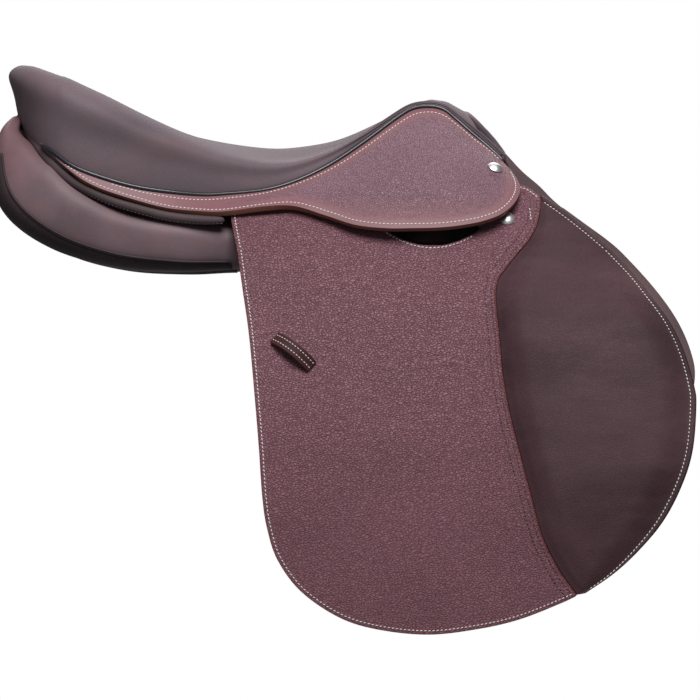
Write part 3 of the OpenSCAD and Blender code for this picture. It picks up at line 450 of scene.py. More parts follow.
seat_leather = leather("Seat leather", (0.12, 0.09, 0.103), (0.136, 0.104, 0.119), 900, 0.08, 0.62, 0.16,
                       0.24, (0.15, 0.096, 0.103), (0.35, 1, 1), 0.7)
seam_end = len(seam_points) - 1
seat_mesh = grid_mesh(170, 72, lambda u, v: seat_point(
    seam_end * u, seat_reach(seam_end * u) * (1 - 2 * v)) * 0.001)
bmesh.ops.remove_doubles(seat_mesh, verts=seat_mesh.verts, dist=0.000002)
seat_inner = [v for v in seat_mesh.verts if not v.is_boundary]
relax(seat_mesh, seat_inner, 3)
relax(seat_mesh, [v for v in seat_inner if v.co.x < -0.192], 8)
seat = new_piece("seat", seat_mesh, [seat_leather], Vector((0, 0, 1)))
thicken(seat, 0.003)
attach(seat, "saddle")
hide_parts("seat_cover")

# Welts: a cord wrapped in glossy black calf, sewn into the seam between the seat and each skirt.
# One per side, from the cantle corner round the pommel to the nose.
welt_leather = leather("Welt leather", (0.012, 0.011, 0.015), (0.02, 0.019, 0.026), 1500, 0.03, 0.32,
                       0.5, 0.1)
welt_start = 2.5
welt_end = 21.95
welt_radius = 2.1
skirt_low_points = [(-207.5, 96.5, 102.5), (-181, 116, 80), (-160, 121, 67.5), (-129, 123, 57),
                    (-100, 123.5, 49.5), (-72, 123, 46.7), (-50, 122, 46.5), (-15, 121, 51), (10, 121, 51),
                    (36, 127, 43), (62, 136, 34.5), (88, 141, 31.5), (110, 142, 31.5), (132, 142, 32),
                    (152, 140.5, 34), (172, 137, 38), (189, 130.5, 45), (201, 118, 57), (204, 100, 70),
                    (196, 75, 86)]


def seam_down(k):
    here = Vector(spline_at(seam_points, k))
    way = (Vector(spline_at(seam_points, k + 0.1)) - Vector(spline_at(seam_points, k - 0.1))).normalized()
    down = Vector(spline_at(skirt_low_points, max(0, k - 3))) - here
    return (down - way * down.dot(way)).normalized()


def welt_path(k):
    return Vector(spline_at(seam_points, k)) + 2 * seam_down(k)


def tube_mesh(path, radius, rows, around):
    def place(u, v):
        t = (path(min(1, u + 0.002)) - path(max(0, u - 0.002))).normalized()
        s = t.cross(Vector((0, 0, 1))).normalized()
        w = s.cross(t)
        angle = 2 * math.pi * v
        return (path(u) + (s * math.cos(angle) + w * math.sin(angle)) * radius(u)) * 0.001
    return grid_mesh(rows, around, place)


def round_ends(u, sharpness):
    return math.sqrt(max(0.0, 1 - (2 * u - 1) ** sharpness))


for name, side in sides:
    welt_mesh = tube_mesh(lambda u: welt_path(welt_start + (welt_end - welt_start) * u),
                          lambda u: welt_radius * round_ends(u, 40), 320, 14)
    bmesh.ops.transform(welt_mesh, matrix=Matrix.Diagonal((1, side, 1, 1)), verts=welt_mesh.verts)
    welt = new_piece(name + "_piping", welt_mesh, [welt_leather])
    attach(welt, "saddle")
    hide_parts(name + "_welt")

# Panels: two stuffed cushions of smooth calf that carry the saddle on the horse's back.
# Each is flocked with wool, laced to the tree, and deepened at the back by a sewn-in gusset.
panel_leather = leather("Panel leather", (0.148, 0.099, 0.114), (0.168, 0.115, 0.13), 800, 0.1, 0.52, 0.22,
                        0.24, (0.19, 0.105, 0.112), worn=0.5)
# The gusset leather is the panel leather painted far darker. This is painted shade, since the gusset and its
# bead face down under the panel.
shaded_gusset_leather = leather("Gusset leather in painted shade", (0.03, 0.019, 0.022), (0.05, 0.034, 0.037), 800, 0.1, 0.55)
panel_line = [(196, 46), (176, 44), (130, 41), (70, 34), (10, 27), (-45, 26), (-90, 24.5), (-140, 28),
              (-186, 43.5), (-219, 68.5), (-234, 97), (-238.5, 116.5), (-232.5, 132)]
panel_sizes = [(46, 4, 50, 88), (45, 12, 38, 100), (43, 14, 36, 103), (36, 18, 34, 104),
               (28, 22, 34, 104.5), (20, 22.5, 34, 110), (14, 24.5, 34, 120), (9, 27, 34, 121),
               (6, 31, 34, 119), (4, 32, 32, 108), (2, 20, 32, 92), (0, 9.5, 34, 76), (0, 4, 28, 46)]
panel_end = len(panel_line) - 1
panel_rounding = 0.3
gusset_start = 5
gusset_length = 5.2


def panel_point(t, angle, grow):
    c = spline_at(panel_line, t)
    ahead = spline_at(panel_line, t + 0.02)
    behind = spline_at(panel_line, t - 0.02)
    w = Vector((ahead[0] - behind[0], ahead[1] - behind[1])).normalized()
    tilt, half, y0, y1 = spline_at(panel_sizes, t)
    a = math.radians(tilt)
    to_end = min(t, panel_end - t)
    close = math.sqrt(max(0.0, 1 - max(0.0, 1 - to_end / panel_rounding) ** 2))
    h = (half + grow) * close
    e = ((y1 - y0) / 2 + grow) * close
    cy = math.cos(angle)
    cz = math.sin(angle)
    full = 0.75 - 0.22 * ease((t - 4) / 2) * ease(cy * 4) * ease(cz * 4)
    across = e / math.cos(a) * math.copysign(abs(cy) ** full, cy)
    deep = h * math.copysign(abs(cz) ** full, cz)
    y = (y0 + y1) / 2 + across * math.cos(a) + deep * math.sin(a) * 0.6
    u = deep * math.cos(a * 0.5) - across * math.sin(a)
    return (c[0] + u * w[1], y, c[1] - u * w[0])


def gusset_point(u, v):
    grow = 0.5 - 2 * (2 * v - 1) ** 8
    return panel_point(gusset_start + gusset_length * u, math.radians(-20 - 60 * v), grow)


for name, side in sides:
    panel_mesh = grid_mesh(150, 64, lambda u, v: at(panel_point(panel_end * u, 2 * math.pi * v, -0.3), side))
    panel = new_piece(name + "_panel_cushion", panel_mesh, [panel_leather])
    mark(panel, "rim", lambda p: 0.3 * ease((-188 - p.x) / 45) * ease((p.z - 55) / 40))
    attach(panel, "saddle")
    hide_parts(name + "_panel")
    gusset_mesh = grid_mesh(90, 14, lambda u, v: at(gusset_point(u, v), side))
    gusset = new_piece(name + "_gusset_strip", gusset_mesh, [shaded_gusset_leather],
                       Vector((0, side, -0.5)))
    thicken(gusset, 0.0018, 0.0006)
    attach(gusset, "saddle")
    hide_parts(name + "_gusset")
    bead_mesh = tube_mesh(
        lambda u: Vector(panel_point(gusset_start + gusset_length * u, math.radians(-19), 0.2)),
        lambda u: 1.2 * round_ends(u, 20), 120, 8)
    bmesh.ops.transform(bead_mesh, matrix=Matrix.Diagonal((1, side, 1, 1)), verts=bead_mesh.verts)
    bead = new_piece(name + "_gusset_bead", bead_mesh, [shaded_gusset_leather])
    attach(bead, "saddle")

# Facings: a stuffed roll round the back between seat and panels, and a strip over the pommel arch.
# Smooth calf, sewn along the lower edge.
roll_points = [(-50, 118, 38.8), (-72, 118.5, 39.2), (-98, 119, 42.1), (-124, 118.5, 48.4),
               (-150, 116.2, 56.6), (-177, 110, 70), (-195.6, 99.2, 84.6), (-209, 85.1, 99.7),
               (-218, 67.5, 111.8), (-224.5, 45, 120.6), (-230, 22, 128.6), (-232.5, 0, 131.5)]
roll_half = [(s,) for s in [3.4, 4.2, 4.3, 4.2, 4.2, 4.6, 5, 5, 5, 5.3, 5.8, 6]]
roll_leather = leather("Roll leather", (0.066, 0.045, 0.05), (0.08, 0.056, 0.061), 800, 0.1, 0.6, 0.15,
                       0.15)


def roll_path(u):
    p = along(roll_points, 1 - abs(2 * u - 1))
    return Vector((p[0], p[1] * (1 if u < 0.5 else -1), p[2]))


roll_mesh = tube_mesh(roll_path, lambda u: along(roll_half, 1 - abs(2 * u - 1))[0] * round_ends(u, 60),
                      260, 20)
roll = new_piece("cantle_roll", roll_mesh, [roll_leather])
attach(roll, "saddle")
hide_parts("cantle_facing")


def sew(bm, path, first, last, pitch=3.4, long=2.6, wide=0.95, high=0.8, slant=0.2):
    steps = 600
    spots = [path(first + (last - first) * i / steps) for i in range(steps + 1)]
    travelled = 0.0
    wanted = pitch / 2000
    for i in range(steps):
        a, normal = spots[i]
        b = spots[i + 1][0]
        gap = (b - a).length
        while gap > 0 and travelled + gap >= wanted:
            centre = a.lerp(b, (wanted - travelled) / gap)
            way = (b - a).normalized()
            out = (normal - way * normal.dot(way)).normalized()
            across = out.cross(way)
            way = (way + across * slant).normalized()
            across = out.cross(way)
            turn = Matrix((way, across, out)).transposed().to_4x4()
            size = Matrix.Diagonal((long / 2000, wide / 2000, high / 2000, 1))
            bmesh.ops.create_uvsphere(bm, u_segments=6, v_segments=5, radius=1,
                                      matrix=Matrix.Translation(centre) @ turn @ size)
            wanted += pitch / 1000
        travelled += gap


def finish_stitches(name, bm, material):
    for f in bm.faces:
        f.smooth = True
    mesh = bpy.data.meshes.new(name)
    bm.to_mesh(mesh)
    bm.free()
    mesh.materials.append(material)
    obj = bpy.data.objects.new(name, mesh)
    bpy.context.scene.collection.objects.link(obj)
    return obj


# The roll's stitches are white thread painted grey. This is painted shade, since they sit on the underside
# of the roll.
shaded_thread = new_finish("Grey thread as shade", {"Base Color": (0.2, 0.17, 0.165, 1), "Roughness": 0.7})
roll_sew = bmesh.new()
for name, side in sides:
    def roll_row(t):
        out = Vector((-0.2, 0.6 * side, -0.8)).normalized()
        p = along(roll_points, t)
        return at(p, side) + out * (along(roll_half, t)[0] + 0.05) * 0.001, out

    sew(roll_sew, roll_row, 0.005, 0.5, 3.4, 1.8, 0.5, 0.5, 0.1)
roll_stitches = finish_stitches("roll_stitches", roll_sew, shaded_thread)
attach(roll_stitches, "saddle")
facing_leather = leather("Facing leather", (0.07, 0.042, 0.047), (0.083, 0.051, 0.057), 800, 0.1, 0.6, 0.12)
facing_back = [(163.5, 0, 133), (166.5, 17, 129), (174, 33, 120), (182, 46, 109), (189, 57, 99),
               (195, 67, 89), (200, 81, 74), (210, 90.5, 60.5), (224, 96, 46)]
facing_front = [(168, 0, 129), (171.5, 17, 125), (179, 33, 117), (188, 46, 106), (198, 58.5, 94),
                (208, 70, 82.5), (221.5, 83.5, 70), (232.5, 92, 58), (246, 97, 46)]


def facing_point(u, v):
    t = abs(2 * u - 1)
    p = mix(along(facing_back, t), along(facing_front, t), v)
    return at(p, 1 if u > 0.5 else -1)


facing_mesh = grid_mesh(90, 6, facing_point)
facing = new_piece("pommel_facing", facing_mesh, [facing_leather], Vector((1, 0, 1)))
thicken(facing, 0.004, 0.0012)
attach(facing, "saddle")
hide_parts("head_facing")

# Sweat flaps: single leaves of smooth strap leather that hang against the horse under each flap.
# All leaves hang in one curve, a drum about a line along the saddle; the blocks are stuck to them.
lining_leather = leather("Lining leather", (0.058, 0.031, 0.033), (0.09, 0.05, 0.052), 700, 0.12, 0.55)
calf = leather("Calf leather", (0.05, 0.0245, 0.029), (0.06, 0.0305, 0.036), 700, 0.3, 0.55, 0.12, 0.36,
               (0.088, 0.05, 0.056), (0.45, 1, 1.2), 0.5)
edge_paint = leather("Edge paint", (0.1, 0.032, 0.032), (0.16, 0.055, 0.055), 1200, 0.05, 0.45)


drum_y = -388
drum_z = -320
sweat_face = 604.5
block_back = sweat_face + 0.3


def on_drum(r, x, z):
    return (x, drum_y + math.sqrt(r * r - (z - drum_z) ** 2), z)


def front_bulge(x, z):
    return 14 * ease((x - 150) / 90) * ease((13 - z) / 70) * (1 - 0.5 * ease((-170 - z) / 110))


sweat_edge = [(-24, 20), (-20, -20), (-14, -60), (-8, -115), (-4, -165), (4, -215), (22, -255), (60, -282),
              (120, -292), (180, -284), (235, -262), (275, -237), (303, -207), (325, -170), (341, -130),
              (349.5, -97), (347, -74), (336.2, -47), (317.8, -19.5), (293.3, 9), (279.3, 22.2), (260, 37),
              (241.5, 51.2)]
sweat_middle = (150, -110)
sweat_tip = [(234, 55), (222, 50), (208, 36), (196, 23), (180, 20)]


def sweat_rim(t):
    if t < 0.8:
        return along(sweat_edge, t / 0.8)
    if t < 0.9:
        return along(sweat_tip, (t - 0.8) / 0.1)
    return mix(sweat_tip[-1], sweat_edge[0], (t - 0.9) / 0.1)


def sweat_spot(u, v):
    return mix(sweat_middle, sweat_rim(u), v)


block_rear = [(232, 2), (222, -30), (218, -65), (220, -100), (228, -135), (242, -165)]
block_front = [(262, 2), (296, -30), (315, -65), (321, -100), (315, -135), (290, -165)]


def block_point(t, u):
    p = mix(along(block_rear, t), along(block_front, t), u)
    e = (max(0.0, math.sin(math.pi * u)) * max(0.0, math.sin(math.pi * t))) ** 0.5
    return on_drum(block_back + (8.5 + front_bulge(*p) * 0.85) * e, *p)


def block_base(t, u):
    return on_drum(block_back, *mix(along(block_rear, t), along(block_front, t), u))


def thigh_point(t, u, height):
    rise = max(0.0, math.sin(math.pi * u)) ** 0.4 * max(0.0, math.sin(math.pi * t)) ** 0.3
    z = -112 - 91 * t
    return on_drum(block_back + height * rise, *mix((-3 + 3 * t, z), (14 + 2 * t, z), u))


def cushion_mesh(rows, cols, top, base):
    bm = grid_mesh(rows, cols, top)
    add_part(bm, grid_mesh(rows, cols, base))
    return bm


for name, side in sides:
    sweat_mesh = grid_mesh(240, 26, lambda u, v: at(on_drum(sweat_face, *sweat_spot(u, v)), side))
    sweat = new_piece(name + "_sweat_leaf", sweat_mesh, [lining_leather, edge_paint],
                      Vector((0, side, 0)))
    thicken(sweat, 0.003, 0.0008, rim=1)
    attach(sweat, "saddle")
    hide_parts(name + "_sweat_flap")
    block_mesh = cushion_mesh(40, 24, lambda u, v: at(block_point(u, v), side),
                              lambda u, v: at(block_base(u, v), side))
    block = new_piece(name + "_knee_roll", block_mesh, [calf])
    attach(block, "saddle")
    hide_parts(name + "_knee_block")
    thigh_mesh = cushion_mesh(40, 16, lambda u, v: at(thigh_point(u, v, 6), side),
                              lambda u, v: at(thigh_point(u, v, 0), side))
    thigh = new_piece(name + "_thigh_roll", thigh_mesh, [calf])
    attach(thigh, "saddle")
    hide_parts(name + "_thigh_block")

# Billets: three girth straps of bridle leather a side, punched with seven holes each.
# They hang from a nylon web nailed to the tree, with a leather guard over their buckles.
billet_leather = leather("Billet leather", (0.05, 0.026, 0.02), (0.09, 0.05, 0.038), 900, 0.08, 0.45)
billet_places = [("rear", 45), ("middle", 100), ("front", 155)]
billet_face = 610
billet_middle = 608
billet_half = 12.5
billet_top = 24
billet_length = 250
billet_shoulder = -214
hole_pitch = 25
tape_face = 612.3
guard_face = 613.4
guard_low = [(21, -70), (35, -92), (100, -100), (165, -92), (179, -70)]
guard_top = [(27, 11.7), (60, 11.7), (100, 11.7), (140, 11.7), (173, 11.7)]


def billet_spot(x, u, v):
    z = billet_top - billet_length * v
    w = billet_half
    if z < billet_shoulder:
        w = billet_half * math.sqrt(max(0.0, 1 - ((billet_shoulder - z) / 12) ** 2.4))
    return (x + w * (2 * u - 1), z)


for name, side in sides:
    for place_name, billet_x in billet_places:
        body = name + "_" + place_name + "_billet"
        strap_mesh = grid_mesh(10, 120, lambda u, v: at(on_drum(
            billet_face, *billet_spot(billet_x, u, v)), side))
        strap = new_piece(body + "_strap", strap_mesh, [billet_leather, edge_paint],
                          Vector((0, side, 0)))
        thicken(strap, 0.004, 0.0009, rim=1)
        drill_mesh = bmesh.new()
        for hole in range(7):
            hole_z = -204 + hole_pitch * hole
            centre = at(on_drum(billet_middle, billet_x, hole_z), side)
            tilt = math.asin((hole_z - drum_z) / billet_middle)
            turn = Matrix.Rotation(-side * (math.pi / 2 - tilt), 4, "X")
            bmesh.ops.create_cone(drill_mesh, cap_ends=True, segments=24, radius1=0.0025, radius2=0.0025,
                                  depth=0.02, matrix=Matrix.Translation(centre) @ turn)
        drill = new_piece(body + "_drill", drill_mesh, [edge_paint])
        cut = strap.modifiers.new("Holes", "BOOLEAN")
        cut.object = drill
        cut.operation = "DIFFERENCE"
        cut.solver = "EXACT"
        bpy.context.view_layer.update()
        shaped = strap.evaluated_get(bpy.context.evaluated_depsgraph_get())
        punched = bpy.data.meshes.new_from_object(shaped)
        strap.modifiers.clear()
        strap.data = punched
        bpy.data.objects.remove(drill)
        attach(strap, body)
        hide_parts(body)
    tape_mesh = bmesh.new()
    for place_name, billet_x in billet_places:
        add_part(tape_mesh, grid_mesh(8, 12, lambda u, v: at(on_drum(
            tape_face, billet_x + billet_half * (2 * u - 1), 12 + 22.5 * v), side)))
    # The tapes take the near-black webbing, which is painted shade inside the flap window.
    tape = new_piece(name + "_billet_tapes", tape_mesh, [shade_dark_web], Vector((0, side, 0)))
    thicken(tape, 0.0018)
    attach(tape, "saddle")
    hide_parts(name + "_billet_webs")
    guard_mesh = grid_mesh(60, 40, lambda u, v: at(on_drum(
        guard_face, *mix(along(guard_top, u), along(guard_low, u), v)), side))
    guard = new_piece(name + "_buckle_guard", guard_mesh, [lining_leather, edge_paint],
                      Vector((0, side, 0)))
    thicken(guard, 0.002, 0.0006, rim=1)
    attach(guard, "saddle")
    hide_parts(name + "_billet_guard")

# Flaps: a leaf of pebble-grained hide over a lining leaf, cut forward, with an edge dyed red-brown.
# Each is nailed to the tree under the skirt and bends at the girth line; a window clears the stirrup bar.
grained = leather("Grained hide", (0.186, 0.081, 0.101), (0.212, 0.095, 0.118), 540, 1.0, 0.5, 0.2, 0.08,
                  None, (0.66, 1, 1.1), relief=0.0008)
thread = new_finish("White thread", {"Base Color": (0.72, 0.7, 0.66, 1), "Roughness": 0.7})
dark_thread = new_finish("Dark thread", {"Base Color": (0.035, 0.018, 0.018, 1), "Roughness": 0.6})
flap_radius = 620
flap_face = flap_radius + 0.3
rear_edge = [(-39, 13), (-34, -20), (-28, -60), (-22.5, -115), (-19, -155), (-16, -195), (-12, -221),
             (-3, -248), (17, -274.5), (49, -296), (82, -306), (124, -310), (166, -305), (199, -297),
             (232, -284), (245, -278)]
pad_seam = [(203, 13), (197, 6), (190, -3), (184, -11.5), (181.3, -22.5), (181.5, -37), (183.7, -63),
            (186, -93), (191.4, -125.5), (200.7, -164), (208.5, -194), (218, -229), (232, -256.5),
            (243, -272), (246.5, -276.5)]
pad_front = [(281, 13), (300.5, -9.5), (314.5, -29), (329, -51), (339.5, -75), (346.5, -102), (348, -119),
             (344, -157), (334, -187), (319, -215), (299.5, -238.5), (278, -258.5), (254, -275)]
rear_upper = [(-46, 50), (-43.5, 34), (-39, 13)]
seam_upper = [(221.5, 60), (222, 55), (220.5, 45), (217, 33), (210, 21), (203, 13)]
front_upper = [(223.5, 61), (227, 59), (235, 53), (248.7, 42), (266.5, 26.5), (281, 13)]
flap_top = [(-46, 50), (-20, 52), (25, 53), (60, 61), (120, 63), (176, 64.5), (190, 68), (203, 70.5),
            (212, 67.5), (221.5, 60)]
nose_tacks = [(200, 70.5), (206, 70), (212, 67.5), (218, 63), (221, 60.5)]
bend_share = 0.2
cover_share = 0.7
lining_drop = 2.8


def flap_spot(v, u):
    if v < bend_share:
        t = v / bend_share
        p = mix(along(rear_upper, t), along(seam_upper, t), u)
        straight = mix(rear_upper[0], seam_upper[0], u)
        top = along(flap_top, u)
        fade = (1 - t) ** 2
        return (p[0] + (top[0] - straight[0]) * fade, p[1] + (top[1] - straight[1]) * fade)
    t = (v - bend_share) / (1 - bend_share)
    return mix(along(rear_edge, t), along(pad_seam, t), u)


def pad_ends(v):
    if v < bend_share:
        t = v / bend_share
        return along(seam_upper, t), along(front_upper, t)
    t = (v - bend_share) / (1 - bend_share)
    return along(pad_seam, t), along(pad_front, t)


def pad_spot(v, u):
    a, b = pad_ends(v)
    return mix((a[0] + 0.4, a[1]), b, u)


def near_edges(u):
    return 0.3 * u + 0.7 * (0.5 - 0.5 * math.cos(math.pi * u))


def lining_spot(v, u):
    if u < cover_share:
        return flap_spot(v, u / cover_share)
    return pad_spot(v, (u - cover_share) / (1 - cover_share))


def flap_at(x, z, lift, side):
    return at(on_drum(flap_face + front_bulge(x, z) + lift, x, z), side)


def drum_normal(spot, side):
    return Vector((0, spot.y * 1000 - drum_y * side, spot.z * 1000 - drum_z)).normalized()


def flap_rim(p):
    spot = Vector((p.x, 0, p.z))
    return max(1 - ease((to_seam(spot) - 0.9) / 0.9), 0.55 * (1 - ease((to_rear(spot) - 0.9) / 0.9)))


def rim_points(lines):
    return [Vector((q[0], 0, q[1])) for line in lines for q in [along(line, i / 400) for i in range(401)]]


to_seam = distance_to(rim_points([pad_seam, seam_upper]))
to_rear = distance_to(rim_points([rear_edge, rear_upper]))


window_x = 126
window_z = 36.5
window_half = 28
window_radius = 19.5


def window_sill(x):
    return 16.5 + 14 * ((x - 128) / 40) ** 2


def window_reach(x, z):
    dx = max(0.0, abs(x - window_x) - window_half)
    return max(math.hypot(dx, z - window_z) - window_radius, window_sill(x) - z)


def cut_window(bm):
    middles = [(f, f.calc_center_median() * 1000) for f in bm.faces]
    inside = [f for f, middle in middles if window_reach(middle.x, middle.z) < 0]
    bmesh.ops.delete(bm, geom=inside, context="FACES")
    for v in bm.verts:
        x = v.co.x * 1000
        z = v.co.z * 1000
        reach = window_reach(x, z)
        if v.is_boundary and abs(reach) < 4 and 80 < x < 176 and 14 < z < 58:
            dx = math.copysign(max(0.0, abs(x - window_x) - window_half), x - window_x)
            low = window_sill(x) - z >= reach - 0.001
            way = Vector((0, -1)) if low else Vector((dx, z - window_z)).normalized()
            radius = math.hypot(v.co.y * 1000 + math.copysign(drum_y, v.co.y), z - drum_z)
            place = on_drum(radius, x - way.x * reach, z - way.y * reach)
            v.co = at(place, math.copysign(1, v.co.y))


def offset_path(points, side, inset, lift, turn):
    def path(t):
        p = along(points, t)
        a = along(points, max(0, t - 0.004))
        b = along(points, min(1, t + 0.004))
        way = Vector((b[0] - a[0], b[1] - a[1])).normalized()
        x = p[0] - way.y * inset * turn
        z = p[1] + way.x * inset * turn
        spot = flap_at(x, z, lift, side)
        return spot, drum_normal(spot, side)
    return path


def bend_flap(obj):
    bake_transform(obj)


for name, side in sides:
    lining_mesh = grid_mesh(130, 130, lambda u, v: flap_at(*lining_spot(v, u), -lining_drop, side))
    cut_window(lining_mesh)
    lining = new_piece(name + "_flap_back", lining_mesh, [lining_leather, edge_paint],
                       Vector((0, side, 0)))
    thicken(lining, 0.002, 0.0006, rim=1)
    bend_flap(lining)
    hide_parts(name + "_flap_lining")
    cover_mesh = grid_mesh(130, 150, lambda u, v: flap_at(*flap_spot(v, near_edges(u)), 0, side))
    cut_window(cover_mesh)
    cover = new_piece(name + "_flap_face", cover_mesh, [grained, edge_paint],
                      Vector((0, side, 0)))
    mark(cover, "rim", flap_rim)
    thicken(cover, 0.0025, 0.0007, rim=1)
    bend_flap(cover)
    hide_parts(name + "_flap_cover", name + "_flap_upper")
    white_mesh = bmesh.new()
    sew(white_mesh, offset_path(rear_edge, side, 3.2, 0.1, 1), 0.0, 0.99)
    sew(white_mesh, offset_path(rear_upper, side, 3.2, 0.1, 1), 0.0, 1.0)

    def window_path(t):
        x = 88 + 82 * t
        z = window_sill(x) - 1.6 * math.hypot(1, 28 * (x - 128) / 1600)
        spot = flap_at(x, z, 0.1, side)
        return spot, drum_normal(spot, side)

    sew(white_mesh, window_path, 0.0, 0.9)
    sew(white_mesh, offset_path(nose_tacks, side, 2.2, 0.1, -1), 0.0, 1.0)
    sew(white_mesh, offset_path([(212, 50), (213, 40)], side, 0.0, 0.1, -1), 0.0, 1.0)
    white = finish_stitches(name + "_flap_stitches", white_mesh, thread)
    bend_flap(white)
    dark_mesh = bmesh.new()
    for inset, last in [(3.4, 0.98), (8.6, 0.96)]:
        sew(dark_mesh, offset_path(pad_seam, side, inset, 0.1, -1), 0.0, last, 3.6, 2.8)
        sew(dark_mesh, offset_path(seam_upper, side, inset, 0.1, -1), 0.1, 1.0, 3.6, 2.8)
    dark = finish_stitches(name + "_seam_stitches", dark_mesh, dark_thread)
    bend_flap(dark)


# Knee pads: smooth calf drawn over a foam wedge, let into the front of each flap.
# The front is turned over a bead and sewn down in white.
def pad_wide(v):
    a, b = pad_ends(v)
    return math.hypot(b[0] - a[0], b[1] - a[1])


def pad_rise(v, u):
    wide = pad_wide(v)
    from_seam = u * wide
    from_front = (1 - u) * wide
    crown = 7 * (1 - 0.6 * ease((v - 0.76) / 0.24)) * (0.3 + 0.7 * ease(v / 0.26))
    puff = crown * (ease((from_seam + 2) / 26) ** 0.8) * (ease((from_front - 3.5) / 30) ** 0.8)
    bead = 1.3 * math.sqrt(max(0.0, 1 - ((from_front - 2.4) / 2.6) ** 2))
    edge = min(1.0, from_seam / 1.2, from_front / 1.2)
    step = 1.5 * (1 - ease(from_seam / 9))
    return -2.5 + (2.2 - step) * math.sqrt(max(0.0, edge * (2 - edge))) + puff + bead * edge


def pad_place(v, u, lift, side):
    x, z = pad_spot(v, u)
    return flap_at(x, z, lift, side)


def even_pad(u):
    return 0.5 - 0.5 * math.cos(math.pi * u)


def pad_row(start, end, side):
    def path(t):
        v = start + (end - start) * t
        u = max(0.1, 1 - 5.2 / pad_wide(v))
        spot = pad_place(v, u, pad_rise(v, u) + 0.15, side)
        return spot, drum_normal(spot, side)
    return path


for name, side in sides:
    pad_mesh = cushion_mesh(64, 150, lambda u, v: pad_place(v, even_pad(u), pad_rise(v, even_pad(u)), side),
                            lambda u, v: pad_place(v, even_pad(u), -2.5, side))
    pad = new_piece(name + "_knee_patch", pad_mesh, [calf])
    bend_flap(pad)
    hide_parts(name + "_knee_pad", name + "_pad_upper")
    pad_sew = bmesh.new()
    sew(pad_sew, pad_row(bend_share, 1.0, side), 0.0, 0.97)
    sew(pad_sew, pad_row(0.0, bend_share, side), 0.25, 1.0)
    pad_stitches = finish_stitches(name + "_pad_stitches", pad_sew, thread)
    bend_flap(pad_stitches)

# Keepers: a short strap loop sewn to each flap by its two ends, which holds the stirrup leather's tail.
# Bridle leather, with a stitched row along each edge.
keeper_line = [(-21, 1.4), (-18.5, 3.2), (-14, 5.8), (-7, 8), (0, 8.7), (7, 7.9), (14, 5.4), (18.5, 2.8),
               (21, 1.2)]
keeper_x = 9.5
keeper_z = -75
keeper_width = 11.5
keeper_tilt = math.asin((keeper_z - drum_z) / flap_radius)
keeper_leather = leather("Keeper leather", (0.042, 0.014, 0.015), (0.06, 0.022, 0.024), 900, 0.1, 0.55, 0.1)
for name, side in sides:
    keeper_turn = (Matrix.Translation(at(on_drum(flap_face, keeper_x, keeper_z), side))
                   @ Matrix.Rotation(side * keeper_tilt, 4, "X")
                   @ Matrix.Rotation(math.radians(40), 4, "Y"))

    def keeper_point(u, v):
        p = along(keeper_line, u)
        return keeper_turn @ (Vector((p[0], (p[1] + 1.2) * side, keeper_width * (v - 0.5))) * 0.001)

    keeper_mesh = grid_mesh(60, 6, keeper_point)
    keeper = new_piece(name + "_keeper_loop", keeper_mesh, [keeper_leather, edge_paint],
                       Vector((0, side, 0.3)))
    thicken(keeper, 0.0024, 0.0007, rim=1)
    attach(keeper, name + "_flap")
    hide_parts(name + "_keeper")
    keeper_sew = bmesh.new()
    for row in (0.27, 0.73):
        def keeper_path(t):
            spot = keeper_point(t, row)
            near = keeper_point(min(1, t + 0.01), row) - keeper_point(max(0, t - 0.01), row)
            normal = near.cross(keeper_point(t, 1) - keeper_point(t, 0)).normalized()
            if normal.y * side < 0:
                normal = -normal
            return spot + normal * 0.0001, normal
        sew(keeper_sew, keeper_path, 0.03, 0.97, 3.0, 2.2, 0.8, 0.7, 0.0)
    keeper_stitches = finish_stitches(name + "_keeper_stitches", keeper_sew, thread)
    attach(keeper_stitches, name + "_flap")


# Skirts: the small outer flaps of thick grained hide that cover the stirrup bars.
# Each is blocked over the tree, sewn in two white rows, and its cut edge is bevelled and waxed brown.
# The skirt's middle and upper part are painted a lighter purple-grey, which is a painted sheen. Along its
# edges and over its lower part the margin colour gives a darker red-brown, and the grain is flattened there
# too.
skirt_hide = leather("Skirt hide", (0.21, 0.113, 0.143), (0.265, 0.146, 0.182), 680, 0.8, 0.45, 0.22, 0.06,
                     None, (0.8, 1, 1.1), margin=(0.205, 0.095, 0.107), relief=0.001)
skirt_edge = leather("Skirt edge", (0.16, 0.06, 0.042), (0.23, 0.095, 0.068), 900, 0.05, 0.45)
skirt_end = 18.8
skirt_crown = 8


def skirt_point(k, v):
    start = k + 3 - 0.55 * (1 - ease(k / 1.6))
    upper = Vector(spline_at(seam_points, start)) + (1 + 3 * ease(k / 1.3)) * seam_down(start)
    low = Vector(spline_at(skirt_low_points, k))
    w = ease((k - 6) / 5) * (1 - ease((k - 15) / 4))
    d = low - upper
    out = Vector((0, -d.z, d.y)).normalized()
    return upper.lerp(low, v) + out * skirt_crown * w * math.sin(math.pi * v)


def bend_skirt(obj):
    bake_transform(obj)


def low_row_gap(k):
    wide = (skirt_point(k, 1) - skirt_point(k, 0)).length
    return min(2.4 + 2 * ease((k - 5) / 4), 0.45 * wide)


def high_row_gap(k):
    return 1.2 + 3 * ease((k - 2.2) / 2.8) + 1.9 * ease((k - 6) / 4)


def skirt_row(edge, gap_at, side):
    to_edge = distance_to([skirt_point(skirt_end * i / 900, edge) for i in range(901)])

    def path(t):
        k = skirt_end * t
        near = 0.0
        far = 0.7
        for halving in range(14):
            v = (near + far) / 2
            if to_edge(skirt_point(k, abs(edge - v))) < gap_at(k):
                near = v
            else:
                far = v
        v = abs(edge - v)
        spot = skirt_point(k, v)
        way = skirt_point(k + 0.02, v) - skirt_point(k - 0.02, v)
        down = skirt_point(k, min(1, v + 0.02)) - skirt_point(k, max(0, v - 0.02))
        normal = way.cross(down).normalized()
        if normal.y < 0:
            normal = -normal
        normal.y *= side
        return at(spot, side) + normal * 0.0001, normal
    return path


